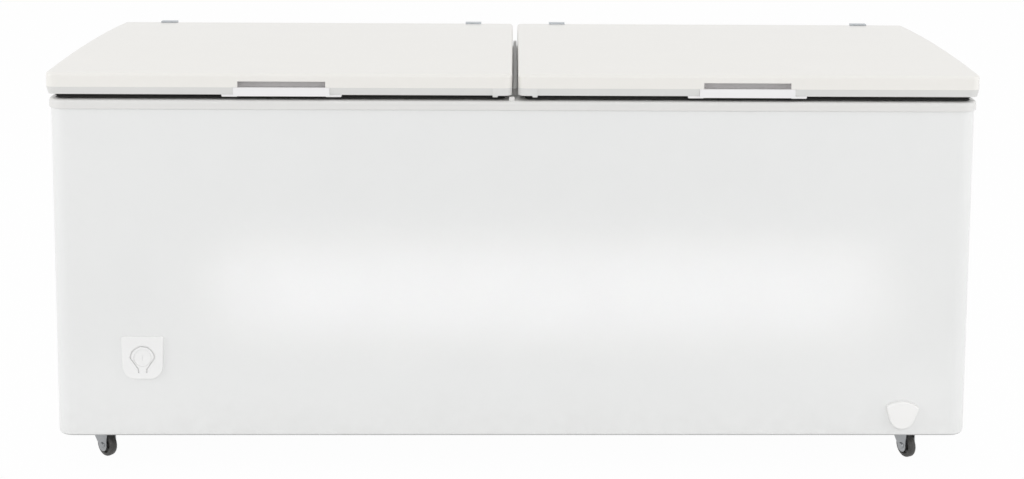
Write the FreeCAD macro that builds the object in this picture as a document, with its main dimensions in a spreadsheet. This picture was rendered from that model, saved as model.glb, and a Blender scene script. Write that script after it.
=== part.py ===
import FreeCAD, Part
import math
import os
import re
import Sketcher

# Two-door chest freezer on four swivel casters, in millimetres.
# +Z is up, +X is to the right of someone facing the front, and the front faces -Y.
# The origin lies on the floor, under the middle of the outer box.

Vector = FreeCAD.Vector
Rotation = FreeCAD.Rotation
Placement = FreeCAD.Placement

DRIVING_SIZES = {
    # Cabinet
    "overall_width": 2000,
    "cabinet_depth": 735,
    "cabinet_height": 743,
    "caster_height": 80,
    "wall_thickness": 64,
    "floor_thickness": 74,
    "fit_gap": 0.3,
    "running_gap": 0.05,
    "shell_sheet": 1,
    "shell_corner_radius": 38,
    "shell_bottom_radius": 7,
    "shell_flange": 22,
    "base_sheet": 1.5,
    "base_inset": 8,
    "base_slot_width": 8,
    "base_slot_length": 90,
    "base_slot_pitch": 22,
    "base_slot_count": 6,
    "liner_sheet": 1,
    "liner_corner_radius": 30,
    "liner_edge_radius": 24,
    # Rim round the mouth
    "frame_height": 20,
    "frame_overhang": 4,
    "frame_plate": 4,
    "frame_lip_wall": 3,
    "frame_lip_drop": 18,
    "frame_edge_radius": 6,
    "frame_lower_radius": 2,
    "nub_offset": 7,
    "nub_width": 12,
    "nub_depth": 9,
    "nub_height": 8,
    "nub_radius": 2,
    "divider_width": 92,
    "divider_height": 30,
    "divider_radius": 8,
    "divider_rib_width": 8,
    "divider_rib_height": 14,
    # Machine bay
    "machine_width": 288,
    "machine_height": 290,
    "bulkhead_sheet": 1,
    "bay_margin": 16,
    "bay_sill": 34,
    "cover_lap": 10,
    "cover_sheet": 1.2,
    "cover_corner_radius": 6,
    "louvre_margin": 24,
    "louvre_height": 11,
    "louvre_reach": 6,
    "louvre_pitch": 20,
    "louvre_count": 9,
    "louvre_start": 50,
    "cover_screw_radius": 2,
    "cover_screw_head_radius": 4,
    "cover_screw_head": 2.2,
    "cover_screw_length": 10,
    "cover_screw_inset": 5.5,
    "gland_height": 26,
    "gland_offset": 36,
    "gland_neck_radius": 6,
    "gland_collar_radius": 9,
    "gland_collar": 3,
    "gland_bore_radius": 3.6,
    # Compressor and pipes
    "compressor_setback": 175,
    "compressor_width": 142,
    "compressor_length": 196,
    "compressor_height": 168,
    "compressor_corner_radius": 62,
    "compressor_top_radius": 44,
    "compressor_bottom_radius": 24,
    "compressor_seam": 5,
    "compressor_seam_height": 84,
    "mount_length": 236,
    "mount_width": 168,
    "mount_sheet": 3,
    "mount_corner_radius": 18,
    "mount_saddle": 6,
    "grommet_height": 14,
    "grommet_radius": 13,
    "grommet_neck_radius": 8,
    "grommet_cap_height": 5,
    "grommet_bore_radius": 4,
    "grommet_inset": 20,
    "relay_width": 62,
    "relay_height": 74,
    "relay_depth": 34,
    "relay_rise": 46,
    "relay_radius": 8,
    "tube_radius": 4,
    "tube_bend": 18,
    "suction_rise": 118,
    "suction_climb": 226,
    "suction_run": 46,
    "discharge_rise": 60,
    "discharge_run": 52,
    "discharge_climb": 190,
    "drier_radius": 10,
    "drier_length": 96,
    "drier_end_radius": 3.5,
    "drier_cone": 14,
    "drier_height": 120,
    "drier_setback": 420,
    # Lids
    "lid_split": 12,
    "lid_gap": 12,
    "lid_rear_inset": 4,
    "lid_band_height": 16,
    "lid_band_taper": 4,
    "lid_front_height": 46,
    "lid_rear_height": 46,
    "lid_crown_radius": 8000,
    "lid_corner_radius": 20,
    "lid_rear_corner_radius": 9,
    "lid_cap_length": 42,
    "lid_cap_foot": 11,
    "lid_cap_drop": 4,
    "lid_cap_radius": 2,
    "lid_edge_radius": 7,
    "lid_skin_wall": 2.5,
    "lid_liner_wall": 2,
    "lid_plug_drop": 22,
    "lid_plug_margin": 14,
    "lid_plug_radius": 20,
    "lid_plug_edge_radius": 8,
    "gasket_width": 18,
    "gasket_inset": 16,
    "gasket_radius": 14,
    "gasket_groove": 4,
    "gasket_groove_height": 3,
    "handle_width": 187,
    "handle_inset": 5.5,
    "handle_height": 29,
    "handle_depth": 19,
    "handle_wall": 2.5,
    "handle_cheek": 9,
    "handle_lip": 8,
    "handle_lip_drop": 3,
    "handle_corner_radius": 6,
    "handle_lug_width": 34,
    "handle_lug_drop": 5,
    "handle_lug_radius": 3,
    "handle_lug_setback": 2,
    "handle_lug_depth": 11,
    # Hinges
    "hinge_outer_offset": 115,
    "hinge_inner_offset": 101,
    "hinge_width": 40,
    "hinge_plate": 3,
    "hinge_pin_back": 12,
    "hinge_pin_rise": 22,
    "hinge_pin_radius": 4,
    "hinge_pin_head_radius": 6,
    "hinge_pin_head": 2,
    "hinge_knuckle_radius": 8,
    "hinge_knuckle_gap": 0.5,
    "hinge_arm": 8,
    "hinge_bracket_drop": 96,
    "hinge_notch_drop": 12,
    "hinge_ear_drop": 44,
    "hinge_tab_reach": 16,
    "hinge_screw_radius": 2.5,
    "hinge_screw_head_radius": 5,
    "hinge_screw_head": 2.6,
    "hinge_screw_side": 9,
    "hinge_screw_margin": 10,
    "hinge_screw_spacing": 22,
    # Thermostat, lower left of the front
    "thermostat_from_left": 197,
    "thermostat_rise": 176,
    "thermostat_width": 91,
    "thermostat_taper": 3,
    "thermostat_height": 94,
    "thermostat_proud": 5,
    "thermostat_top_radius": 4,
    "thermostat_bottom_radius": 28,
    "thermostat_edge_radius": 1.2,
    "dial_channel_radius": 27.5,
    "dial_channel_width": 3.2,
    "dial_channel_depth": 3.5,
    "dial_sink": 0.4,
    "dial_cup_wall": 1.6,
    "dial_radius": 18.5,
    "dial_thickness": 5,
    "dial_slot_width": 1.2,
    "dial_slot_length": 12,
    "dial_slot_depth": 1,
    "dial_neck_width": 21,
    "dial_neck_rise": 25,
    "dial_neck_drop": 33,
    "dial_spindle_radius": 3,
    "dial_spindle_length": 14,
    "thermostat_body_width": 44,
    "thermostat_body_height": 38,
    "thermostat_body_depth": 34,
    "thermostat_body_radius": 4,
    # Drain, lower right of the front
    "drain_from_right": 149.5,
    "drain_rise": 48,
    "drain_setback": 110,
    "drain_bend": 16,
    "drain_bore_radius": 9,
    "drain_pipe_bore_radius": 7.5,
    "drain_tube_wall": 2,
    "drain_flange_radius": 24,
    "drain_flange": 2.5,
    "drain_nipple_radius": 13,
    "drain_nipple_length": 3.5,
    "drain_sleeve_length": 16,
    "drain_cap_width": 70,
    "drain_cap_height": 61,
    "drain_cap_proud": 9,
    "drain_cap_wall": 2,
    "drain_cap_shoulder_radius": 8,
    "drain_cap_foot_radius": 27.5,
    "drain_cap_crown_radius": 62,
    "drain_cap_edge_radius": 2.5,
    "drain_cap_ring": 2.5,
    "drain_cap_shoulder": 13,
    "drain_cap_turn": 3,
    "drain_plug_radius": 16,
    "drain_plug_flange": 3,
    "drain_plug_stem": 12,
    "drain_plug_knob_radius": 6,
    "drain_plug_knob": 12,
    # Casters
    "caster_left_inset": 76,
    "caster_right_inset": 127,
    "caster_front_setback": 100,
    "caster_rear_setback": 100,
    "caster_left_yaw": 50,
    "caster_right_yaw": 24,
    "caster_trail": 24,
    "wheel_radius": 27,
    "wheel_width": 17,
    "wheel_tread_radius": 5,
    "wheel_hub_radius": 10,
    "wheel_hub_width": 21,
    "wheel_web_width": 8,
    "wheel_rim_depth": 8,
    "axle_radius": 4,
    "axle_head_radius": 7,
    "axle_head": 3,
    "fork_sheet": 2.5,
    "fork_clearance": 0.4,
    "fork_toe_radius": 14,
    "fork_top_gap": 4,
    "swivel_radius": 24,
    "swivel_cup_wall": 3,
    "kingpin_radius": 5,
    "kingpin_head_radius": 8,
    "kingpin_head": 2.5,
    "caster_plate_length": 74,
    "caster_plate_sheet": 3,
    "caster_plate_radius": 8,
    "caster_bolt_radius": 3,
    "caster_bolt_head_radius": 5.5,
    "caster_bolt_head": 4,
    "caster_bolt_inset": 9,
}

# Positions and thicknesses that follow from the driving sizes.
LAYOUT = {
    "half_width": "overall_width / 2",
    "front_reach": "drain_cap_proud - frame_overhang",
    "rear_reach": "hinge_pin_back + hinge_knuckle_radius",
    "depth_shift": "(front_reach - rear_reach) / 2",
    "frame_front": "depth_shift - cabinet_depth / 2",
    "frame_rear": "depth_shift + cabinet_depth / 2",
    "frame_top": "caster_height + cabinet_height",
    "frame_bottom": "frame_top - frame_height",
    "frame_under": "frame_top - frame_plate",
    "shell_left": "frame_overhang - half_width",
    "shell_right": "half_width - frame_overhang",
    "shell_front": "frame_front + frame_overhang",
    "shell_rear": "frame_rear",
    "shell_bottom": "caster_height - fit_gap - shell_sheet",
    "shell_top": "frame_under - fit_gap",
    "inside_left": "shell_left + shell_sheet",
    "inside_right": "shell_right - shell_sheet",
    "inside_front": "shell_front + shell_sheet",
    "inside_rear": "shell_rear - shell_sheet",
    "panel_rear": "inside_rear - fit_gap",
    "panel_front": "panel_rear - shell_sheet",
    "panel_bottom": "shell_bottom + shell_bottom_radius + fit_gap",
    "base_top": "caster_height + base_sheet",
    "cavity_left": "shell_left + wall_thickness",
    "cavity_right": "shell_right - wall_thickness",
    "cavity_front": "shell_front + wall_thickness",
    "cavity_rear": "shell_rear - wall_thickness",
    "cavity_floor": "caster_height + floor_thickness",
    "machine_right": "inside_left + machine_width",
    "machine_roof": "base_top + machine_height",
    "step_side": "machine_right + wall_thickness",
    "step_top": "machine_roof + wall_thickness",
    "lip_outer": "fit_gap",
    "lip_inner": "fit_gap + frame_lip_wall",
    "mouth_left": "cavity_left + lip_inner",
    "mouth_right": "cavity_right - lip_inner",
    "mouth_front": "cavity_front + lip_inner",
    "mouth_rear": "cavity_rear - lip_inner",
    "divider_bottom": "frame_top - divider_height",
    "lid_bottom": "frame_top + lid_gap",
    "band_top": "lid_bottom + lid_band_height",
    "tray_floor": "lid_bottom + lid_liner_wall",
    "lid_front": "frame_front",
    "lid_rear": "frame_rear - lid_rear_inset",
    "pin_y": "frame_rear + hinge_pin_back",
    "pin_z": "frame_top + hinge_pin_rise",
    "leaf_rear": "lid_rear + fit_gap + hinge_plate",
    "lid_depth": "lid_rear - lid_front",
    "crown_fall": "lid_depth / (2 * lid_crown_radius) - (lid_rear_height - lid_front_height) / lid_depth",
    "tab_under": "lid_bottom + lid_rear_height + hinge_tab_reach * crown_fall + fit_gap",
    "tab_top": "tab_under + hinge_plate",
    "handle_top": "handle_height + handle_wall",
    "round_inner": "lid_edge_radius - lid_skin_wall",
    "round_rise": "max(handle_top - lid_front_height + lid_edge_radius; 0)",
    "round_run": "lid_edge_radius - sqrt(max(round_inner ^ 2 - round_rise ^ 2; 0))",
    "handle_front": "lid_front + max(lid_skin_wall; round_run) + fit_gap",
    "bracket_front": "frame_rear + fit_gap",
    "bracket_rear": "bracket_front + hinge_plate",
    "thermostat_x": "thermostat_from_left - half_width",
    "thermostat_z": "caster_height + thermostat_rise",
    "thermostat_front": "shell_front - thermostat_proud",
    "dial_face": "thermostat_front + dial_sink",
    "dial_floor": "dial_face + dial_thickness + fit_gap",
    "dial_pocket_radius": "dial_radius + fit_gap",
    "dial_cup_radius": "dial_pocket_radius + dial_cup_wall",
    "dial_neck_top": "thermostat_z - dial_neck_rise",
    "dial_neck_foot": "thermostat_z - dial_neck_drop",
    "cup_rear": "dial_floor + dial_cup_wall",
    "drain_x": "half_width - drain_from_right",
    "drain_z": "caster_height + drain_rise",
    "drain_y": "shell_front + drain_setback",
    "drain_tube_radius": "drain_bore_radius + drain_tube_wall",
    "spout_front": "shell_front - drain_flange - drain_nipple_length",
    "cap_front": "shell_front - drain_cap_proud",
    "cap_floor": "cap_front + drain_cap_wall",
    "compressor_x": "(inside_left + machine_right) / 2",
    "compressor_y": "panel_front - compressor_setback",
    "can_left": "compressor_x - compressor_width / 2",
    "can_right": "compressor_x + compressor_width / 2",
    "can_front": "compressor_y - compressor_length / 2",
    "can_rear": "compressor_y + compressor_length / 2",
    "seam_bottom": "compressor_bottom + compressor_seam_height",
    "seam_top": "seam_bottom + compressor_seam",
    "relay_left": "can_right + fit_gap",
    "relay_right": "relay_left + relay_depth",
    "pipe_start": "can_front - fit_gap",
    "suction_z": "compressor_bottom + suction_rise",
    "suction_top": "base_top + suction_climb",
    "suction_bend": "pipe_start - suction_run",
    "discharge_z": "compressor_bottom + discharge_rise",
    "discharge_top": "base_top + discharge_climb",
    "discharge_bend": "pipe_start - 2 * discharge_run",
    "mount_bottom": "base_top + grommet_height",
    "mount_top": "mount_bottom + mount_sheet",
    "compressor_bottom": "mount_top + mount_saddle",
    "window_left": "shell_left + shell_flange + bay_margin",
    "window_right": "machine_right - bay_margin",
    "window_bottom": "base_top + bay_sill",
    "window_top": "machine_roof - bay_margin",
    "cover_left": "window_left - cover_lap",
    "cover_right": "window_right + cover_lap",
    "cover_bottom": "window_bottom - cover_lap",
    "cover_top": "window_top + cover_lap",
    "cover_rear": "panel_rear + cover_sheet",
    "gland_x": "window_right - gland_offset",
    "gland_z": "window_bottom + gland_height",
    "caster_left": "caster_left_inset - half_width",
    "caster_right": "half_width - caster_right_inset",
    "caster_front": "shell_front + caster_front_setback",
    "caster_rear": "shell_rear - caster_rear_setback",
    "cheek_inner": "wheel_hub_width / 2 + fork_clearance",
    "cheek_outer": "cheek_inner + fork_sheet",
    "fork_under": "2 * wheel_radius + fork_top_gap",
    "fork_top": "fork_under + fork_sheet",
    "caster_plate_bottom": "caster_height - caster_plate_sheet",
}

X_AXIS = Vector(1, 0, 0)
Y_AXIS = Vector(0, 1, 0)
Z_AXIS = Vector(0, 0, 1)
TOLERANCE = 0.001
PAST = 2  # how far a cutting tool runs past the face it opens

doc = FreeCAD.newDocument("chest_freezer")
sheet = doc.addObject("Spreadsheet::Sheet", "sizes")
for row, (alias, number) in enumerate(DRIVING_SIZES.items(), start=1):
    sheet.set(f"A{row}", str(number))
    sheet.setAlias(f"A{row}", alias)
doc.recompute()

nodes = []


def expression(text):
    """Write a formula of size and layout names as one of the spreadsheet's cells."""
    def swap(match):
        word = match.group(0)
        if word in DRIVING_SIZES:
            return f"sizes.{word}"
        if word in LAYOUT:
            return f"({expression(LAYOUT[word])})"
        return word
    return re.sub(r"[a-z][a-z_]*", swap, str(text))


def value(text):
    """Work a formula out to a number."""
    return float(sheet.evalExpression(expression(text)))


def bind(item, name, formula):
    """Tie one property of an object to the spreadsheet."""
    item.setExpression(name, expression(formula))


def place(item, x, y, z):
    """Tie an object's position to the spreadsheet."""
    bind(item, "Placement.Base.x", x)
    bind(item, "Placement.Base.y", y)
    bind(item, "Placement.Base.z", z)


def node(item, label):
    """Name a finished piece and put it on the list of pieces to write."""
    item.Label = label
    nodes.append(item)
    return item


def box(name, x, y, z):
    """A plain block between a low and a high formula on each axis."""
    item = doc.addObject("Part::Box", name)
    for prop, (low, high) in zip(("Length", "Width", "Height"), (x, y, z)):
        bind(item, prop, f"({high}) - ({low})")
    place(item, x[0], y[0], z[0])
    return item


def rod(name, axis, at, radius, length):
    """A cylinder that starts at a point and runs along an axis."""
    turns = {"x": Rotation(Y_AXIS, 90), "y": Rotation(X_AXIS, -90), "z": Rotation()}
    item = doc.addObject("Part::Cylinder", name)
    item.Placement = Placement(Vector(), turns[axis])
    bind(item, "Radius", radius)
    bind(item, "Height", length)
    place(item, *at)
    return item


def origin_plane(body, role):
    """Find one of a body's own origin planes or axes."""
    return [item for item in body.Origin.OriginFeatures if item.Role == role][0]


def arc_middle(start, end, radius):
    """The middle of the shorter arc from start to end, left of the chord for a positive radius."""
    chord = end - start
    half = chord.Length / 2
    sagitta = abs(radius) - math.sqrt(max(radius ** 2 - half ** 2, 0))
    side = Vector(chord.y, -chord.x, 0).normalize() * math.copysign(sagitta, radius)
    return (start + end) * 0.5 + side


def outline(body, plane, level, points, arcs=None):
    """A closed sketch through points given as formulas.

    arcs maps the index of a point to the radius formula of the arc that runs from it to the next.
    A radius with a leading minus bends to the left of the way the outline runs.
    """
    arcs = arcs or {}
    sketch = body.newObject("Sketcher::SketchObject", f"{body.Name}_outline")
    sketch.AttachmentSupport = (origin_plane(body, plane), [""])
    sketch.MapMode = "FlatFace"
    bind(sketch, "AttachmentOffset.Base.z", level)
    corners = [Vector(value(u), value(v), 0) for u, v in points]
    count = len(corners)
    starts = []
    for index, corner in enumerate(corners):
        end = corners[(index + 1) % count]
        if index not in arcs:
            sketch.addGeometry(Part.LineSegment(corner, end), False)
            starts.append((1, 2))
            continue
        middle = arc_middle(corner, end, value(arcs[index]))
        sketch.addGeometry(Part.Arc(corner, middle, end), False)
        turning = (middle - corner).cross(end - middle).z
        starts.append((1, 2) if turning > 0 else (2, 1))
    for index in range(count):
        following = (index + 1) % count
        sketch.addConstraint(
            Sketcher.Constraint("Coincident", index, starts[index][1], following, starts[following][0])
        )
    for index, (u, v) in enumerate(points):
        for kind, formula in (("DistanceX", u), ("DistanceY", v)):
            number = sketch.addConstraint(
                Sketcher.Constraint(kind, -1, 1, index, starts[index][0], value(formula))
            )
            sketch.renameConstraint(number, f"{kind}_{index}")
            bind(sketch, f"Constraints.{kind}_{index}", formula)
        if index in arcs:
            number = sketch.addConstraint(Sketcher.Constraint("Radius", index, abs(value(arcs[index]))))
            sketch.renameConstraint(number, f"Radius_{index}")
            bind(sketch, f"Constraints.Radius_{index}", arcs[index].lstrip("-"))
    sketch.recompute()
    return sketch


def rounded_points(u, v, radius, far=None):
    """The points and arcs of a rectangle with round corners, where far is the radius of the upper two."""
    (left, right), (low, high) = u, v
    far = far or radius
    points = [
        (f"{left} + {radius}", low), (f"{right} - ({radius})", low),
        (right, f"{low} + {radius}"), (right, f"{high} - ({far})"),
        (f"{right} - ({far})", high), (f"{left} + {far}", high),
        (left, f"{high} - ({far})"), (left, f"{low} + {radius}"),
    ]
    return points, {1: radius, 3: far, 5: far, 7: radius}


def new_body(name):
    """An empty body."""
    return doc.addObject("PartDesign::Body", name)


def pad(body, sketch, length, taper=None):
    """Pad a sketch along its normal."""
    feature = body.newObject("PartDesign::Pad", f"{body.Name}_pad")
    feature.Profile = sketch
    bind(feature, "Length", length)
    if taper:
        bind(feature, "TaperAngle", taper)
    feature.recompute()
    return feature


def prism(name, plane, points, low, high, arcs=None):
    """A body padded from an outline on a plane, between two levels of the plane's own axis."""
    body = new_body(name)
    level = f"-({high})" if plane == "XZ_Plane" else low
    pad(body, outline(body, plane, level, points, arcs), f"({high}) - ({low})")
    return body


def spun(name, points, arcs=None, axis="V_Axis", plane="XZ_Plane"):
    """A body turned from a half section about an axis of its own plane."""
    body = new_body(name)
    sketch = outline(body, plane, "0", points, arcs)
    feature = body.newObject("PartDesign::Revolution", f"{name}_turn")
    feature.Profile = sketch
    feature.ReferenceAxis = (sketch, [axis])
    feature.Angle = 360
    feature.recompute()
    return body


def fillet(body, radius, keep):
    """Round the edges of a body that the test keeps."""
    base = body.Tip
    names = [f"Edge{number}" for number, edge in enumerate(base.Shape.Edges, start=1) if keep(edge)]
    feature = body.newObject("PartDesign::Fillet", f"{body.Name}_round")
    feature.Base = (base, names)
    bind(feature, "Radius", radius)
    feature.recompute()
    return body


def runs_along(edge, axis):
    """Whether a straight edge runs along an axis."""
    if edge.Curve.TypeId != "Part::GeomLine":
        return False
    return abs(abs(edge.Curve.Direction.dot(axis)) - 1) < TOLERANCE


def near(number, formula):
    """Whether a number is the value of a formula."""
    return abs(number - value(formula)) < TOLERANCE


def lies_at(edge, axis, formula):
    """Whether all of an edge lies in the plane where an axis has the value of a formula."""
    bounds = edge.BoundBox
    low = {"x": bounds.XMin, "y": bounds.YMin, "z": bounds.ZMin}[axis]
    high = {"x": bounds.XMax, "y": bounds.YMax, "z": bounds.ZMax}[axis]
    return near(low, formula) and near(high, formula)


def rounded_block(name, x, y, z, corner=None, front_corner=None, rear_corner=None, bottom=None, top=None,
                  skirt=None):
    """A block with round upright corners and, where asked, round lower or upper edges.

    skirt rounds the lower edges at the front and the sides, and leaves the rear one square.
    """
    points = [(x[0], y[0]), (x[1], y[0]), (x[1], y[1]), (x[0], y[1])]
    body = prism(name, "XY_Plane", points, z[0], z[1])
    if corner:
        fillet(body, corner, lambda edge: runs_along(edge, Z_AXIS))
    if front_corner:
        fillet(body, front_corner, lambda edge: runs_along(edge, Z_AXIS) and lies_at(edge, "y", y[0]))
    if rear_corner:
        fillet(body, rear_corner, lambda edge: runs_along(edge, Z_AXIS) and lies_at(edge, "y", y[1]))
    if bottom:
        fillet(body, bottom, lambda edge: lies_at(edge, "z", z[0]))
    if skirt:
        fillet(body, skirt, lambda edge: lies_at(edge, "z", z[0]) and not lies_at(edge, "y", y[1]))
    if top:
        fillet(body, top, lambda edge: lies_at(edge, "z", z[1]))
    return body


def fuse(name, *pieces):
    """Join pieces to one."""
    item = doc.addObject("Part::MultiFuse", name)
    item.Shapes = list(pieces)
    item.Refine = True
    return item


def group(name, *pieces):
    """Keep like pieces together as separate solids."""
    item = doc.addObject("Part::Compound", name)
    item.Links = list(pieces)
    return item


def cut(name, base, *tools):
    """Take tools away from a base."""
    item = doc.addObject("Part::Cut", name)
    item.Base = base
    item.Tool = tools[0] if len(tools) == 1 else fuse(f"{name}_tools", *tools)
    return item


def common(name, base, tool):
    """Keep what two pieces share."""
    item = doc.addObject("Part::Common", name)
    item.Base = base
    item.Tool = tool
    return item


def pipe(name, points, bend, radius, bore=None):
    """A tube along straight runs that are joined by round bends."""
    corners = [Vector(*(value(number) for number in point)) for point in points]
    turn = value(bend)
    edges = []
    last = corners[0]
    for before, corner, after in zip(corners, corners[1:], corners[2:]):
        back = (before - corner).normalize()
        ahead = (after - corner).normalize()
        half = back.getAngle(ahead) / 2
        reach = turn / math.tan(half)
        start = corner + back * reach
        end = corner + ahead * reach
        centre = corner + (back + ahead).normalize() * (turn / math.sin(half))
        middle = centre + (corner - centre).normalize() * turn
        edges.append(Part.LineSegment(last, start).toShape())
        edges.append(Part.Arc(start, middle, end).toShape())
        last = end
    edges.append(Part.LineSegment(last, corners[-1]).toShape())
    path = Part.Wire(edges)
    direction = corners[1] - corners[0]

    def swept(size):
        ring = Part.Wire(Part.Circle(corners[0], direction, value(size)).toShape())
        return path.makePipeShell([ring], True, False)

    item = doc.addObject("Part::Feature", name)
    item.Shape = swept(radius).cut(swept(bore)) if bore else swept(radius)
    return item


# Steel wrap: front and sides in one sheet, with flanges turned in at the back and the bottom.

def shell_form(name, inset):
    """The wrap's outside, or the space inside it when inset by the sheet."""
    return rounded_block(
        name,
        (f"shell_left + {inset}", f"shell_right - {inset}"),
        (f"shell_front + {inset}", f"shell_rear - {inset}"),
        (f"shell_bottom + {inset}", "shell_top" if inset == "0" else f"shell_top + {PAST}"),
        front_corner=f"shell_corner_radius - {inset}",
        skirt=f"shell_bottom_radius - {inset}",
    )


rear_window = box(
    "rear_window",
    ("shell_left + shell_flange", "shell_right - shell_flange"),
    (f"inside_rear - {PAST}", f"shell_rear + {PAST}"),
    ("shell_bottom + shell_flange", f"shell_top + {PAST}"),
)
bottom_window = box(
    "bottom_window",
    ("shell_left + shell_flange", "shell_right - shell_flange"),
    ("shell_front + shell_flange", "shell_rear - shell_flange"),
    (f"shell_bottom - {PAST}", f"caster_height + {PAST}"),
)
thermostat_hole = rod(
    "thermostat_hole", "y", ("thermostat_x", f"shell_front - {PAST}", "thermostat_z"),
    "dial_cup_radius + fit_gap", f"shell_sheet + 2 * {PAST}",
)
drain_hole = rod(
    "drain_hole", "y", ("drain_x", f"shell_front - {PAST}", "drain_z"),
    "drain_tube_radius + fit_gap", f"shell_sheet + 2 * {PAST}",
)
node(
    cut("shell_cut", shell_form("shell_outside", "0"), shell_form("shell_inside", "shell_sheet"),
        rear_window, bottom_window, thermostat_hole, drain_hole),
    "outer_shell",
)

# Back panel, seated against the rear flanges, with the window of the machine bay.

back_sheet = box(
    "back_sheet", ("inside_left + fit_gap", "inside_right - fit_gap"), ("panel_front", "panel_rear"),
    ("panel_bottom", "shell_top"),
)
bay_window = box(
    "bay_window", ("window_left", "window_right"), (f"panel_front - {PAST}", f"panel_rear + {PAST}"),
    ("window_bottom", "window_top"),
)

COVER_SCREW_SPOTS = [
    (x, z)
    for x in ("cover_left + cover_screw_inset", "cover_right - cover_screw_inset")
    for z in ("cover_bottom + cover_screw_inset", "(cover_bottom + cover_top) / 2",
              "cover_top - cover_screw_inset")
]


def cover_screw_holes(name):
    """Clearance holes for the screws of the machine bay's cover."""
    return [
        rod(f"{name}_{number}", "y", (x, f"panel_front - {PAST}", z),
            "cover_screw_radius + running_gap", f"shell_sheet + cover_sheet + 2 * {PAST}")
        for number, (x, z) in enumerate(COVER_SCREW_SPOTS)
    ]


node(cut("back_cut", back_sheet, bay_window, *cover_screw_holes("panel_hole")), "back_panel")

# Floor sheet with a turned-up rim, and air slots under the machine bay.

base_block = rounded_block(
    "base_block",
    ("inside_left + base_inset", "inside_right - base_inset"),
    ("inside_front + base_inset", "panel_front - base_inset"),
    ("caster_height", "base_top"),
    corner="shell_corner_radius - base_inset",
)


def base_slots():
    """A row of air slots across the machine bay."""
    body = new_body("base_slots")
    left = "compressor_x - base_slot_length / 2"
    right = "compressor_x + base_slot_length / 2"
    low = "shell_front + shell_flange + base_slot_length"
    points, arcs = rounded_points(
        (left, right), (low, f"{low} + base_slot_width"), "base_slot_width * 0.45"
    )
    first = pad(body, outline(body, "XY_Plane", f"caster_height - {PAST}", points, arcs),
                f"base_sheet + 2 * {PAST}")
    row = body.newObject("PartDesign::LinearPattern", "base_slot_row")
    row.Originals = [first]
    row.Direction = (origin_plane(body, "Y_Axis"), [""])
    bind(row, "Length", "base_slot_pitch * (base_slot_count - 1)")
    bind(row, "Occurrences", "base_slot_count")
    body.Tip = row
    return body


CASTERS = {
    "front_left": ("caster_left", "caster_front"),
    "front_right": ("caster_right", "caster_front"),
    "rear_left": ("caster_left", "caster_rear"),
    "rear_right": ("caster_right", "caster_rear"),
}
BOLT_REACH = "caster_plate_length / 2 - caster_bolt_inset"


def caster_bolt_spots():
    """The four bolts of each of the four caster plates."""
    return [
        (f"{x} + {across} * ({BOLT_REACH})", f"{y} + {along} * ({BOLT_REACH})")
        for x, y in CASTERS.values() for across in (-1, 1) for along in (-1, 1)
    ]


def caster_bolt_holes(name):
    """Clearance holes for the bolts of the casters."""
    return [
        rod(f"{name}_{number}", "z", (x, y, f"caster_plate_bottom - {PAST}"),
            "caster_bolt_radius + running_gap", f"caster_plate_sheet + base_sheet + 2 * {PAST}")
        for number, (x, y) in enumerate(caster_bolt_spots())
    ]


node(cut("base_cut", base_block, base_slots(), *caster_bolt_holes("base_hole")), "base_pan")

# The space inside the wrap, above the floor sheet.

inner_space = rounded_block(
    "inner_space",
    ("inside_left + fit_gap", "inside_right - fit_gap"),
    ("inside_front + fit_gap", "panel_front - fit_gap"),
    ("base_top + fit_gap", "shell_top"),
    front_corner="shell_corner_radius - shell_sheet - fit_gap",
    skirt="shell_bottom_radius",
)

# Folded sheet between the foam and the machine bay.

bulkhead_wall = box(
    "bulkhead_wall", ("machine_right", "machine_right + bulkhead_sheet"),
    ("inside_front + fit_gap", "panel_front - fit_gap"),
    ("base_top + fit_gap", "machine_roof + bulkhead_sheet"),
)
bulkhead_roof = box(
    "bulkhead_roof", ("inside_left + fit_gap", "machine_right + bulkhead_sheet"),
    ("inside_front + fit_gap", "panel_front - fit_gap"),
    ("machine_roof", "machine_roof + bulkhead_sheet"),
)
node(common("bulkhead_trim", fuse("bulkhead_fuse", bulkhead_wall, bulkhead_roof), inner_space),
     "machine_bulkhead")

# Liner: a tub with a step over the machine bay. Its form is also the hollow in the foam.


def tub_form(name, grow):
    """The space of the tub, grown outwards."""
    top = "shell_top" if grow == "liner_sheet" else f"shell_top + {PAST}"
    points = [
        (f"cavity_left - ({grow})", top),
        (f"cavity_left - ({grow})", f"step_top - ({grow})"),
        (f"step_side - ({grow})", f"step_top - ({grow})"),
        (f"step_side - ({grow})", f"cavity_floor - ({grow})"),
        (f"cavity_right + ({grow})", f"cavity_floor - ({grow})"),
        (f"cavity_right + ({grow})", top),
    ]
    front = f"cavity_front - ({grow})"
    rear = f"cavity_rear + ({grow})"
    body = prism(name, "XZ_Plane", points, front, rear)

    def is_nose(edge):
        """Whether an edge is the one where the step's top meets its side."""
        return (runs_along(edge, Y_AXIS) and lies_at(edge, "z", f"step_top - ({grow})")
                and lies_at(edge, "x", f"step_side - ({grow})"))

    def is_lower(edge):
        """Whether an edge runs front to back below the rim, other than the step's nose."""
        return runs_along(edge, Y_AXIS) and not lies_at(edge, "z", top) and not is_nose(edge)

    def is_end(edge):
        """Whether an edge bounds the front or rear wall, other than at the rim."""
        return (lies_at(edge, "y", front) or lies_at(edge, "y", rear)) and not lies_at(edge, "z", top)

    fillet(body, f"liner_corner_radius + {grow}", is_lower)
    fillet(body, f"liner_corner_radius - ({grow})", is_nose)
    fillet(body, f"liner_edge_radius + {grow}", is_end)
    return body


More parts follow.
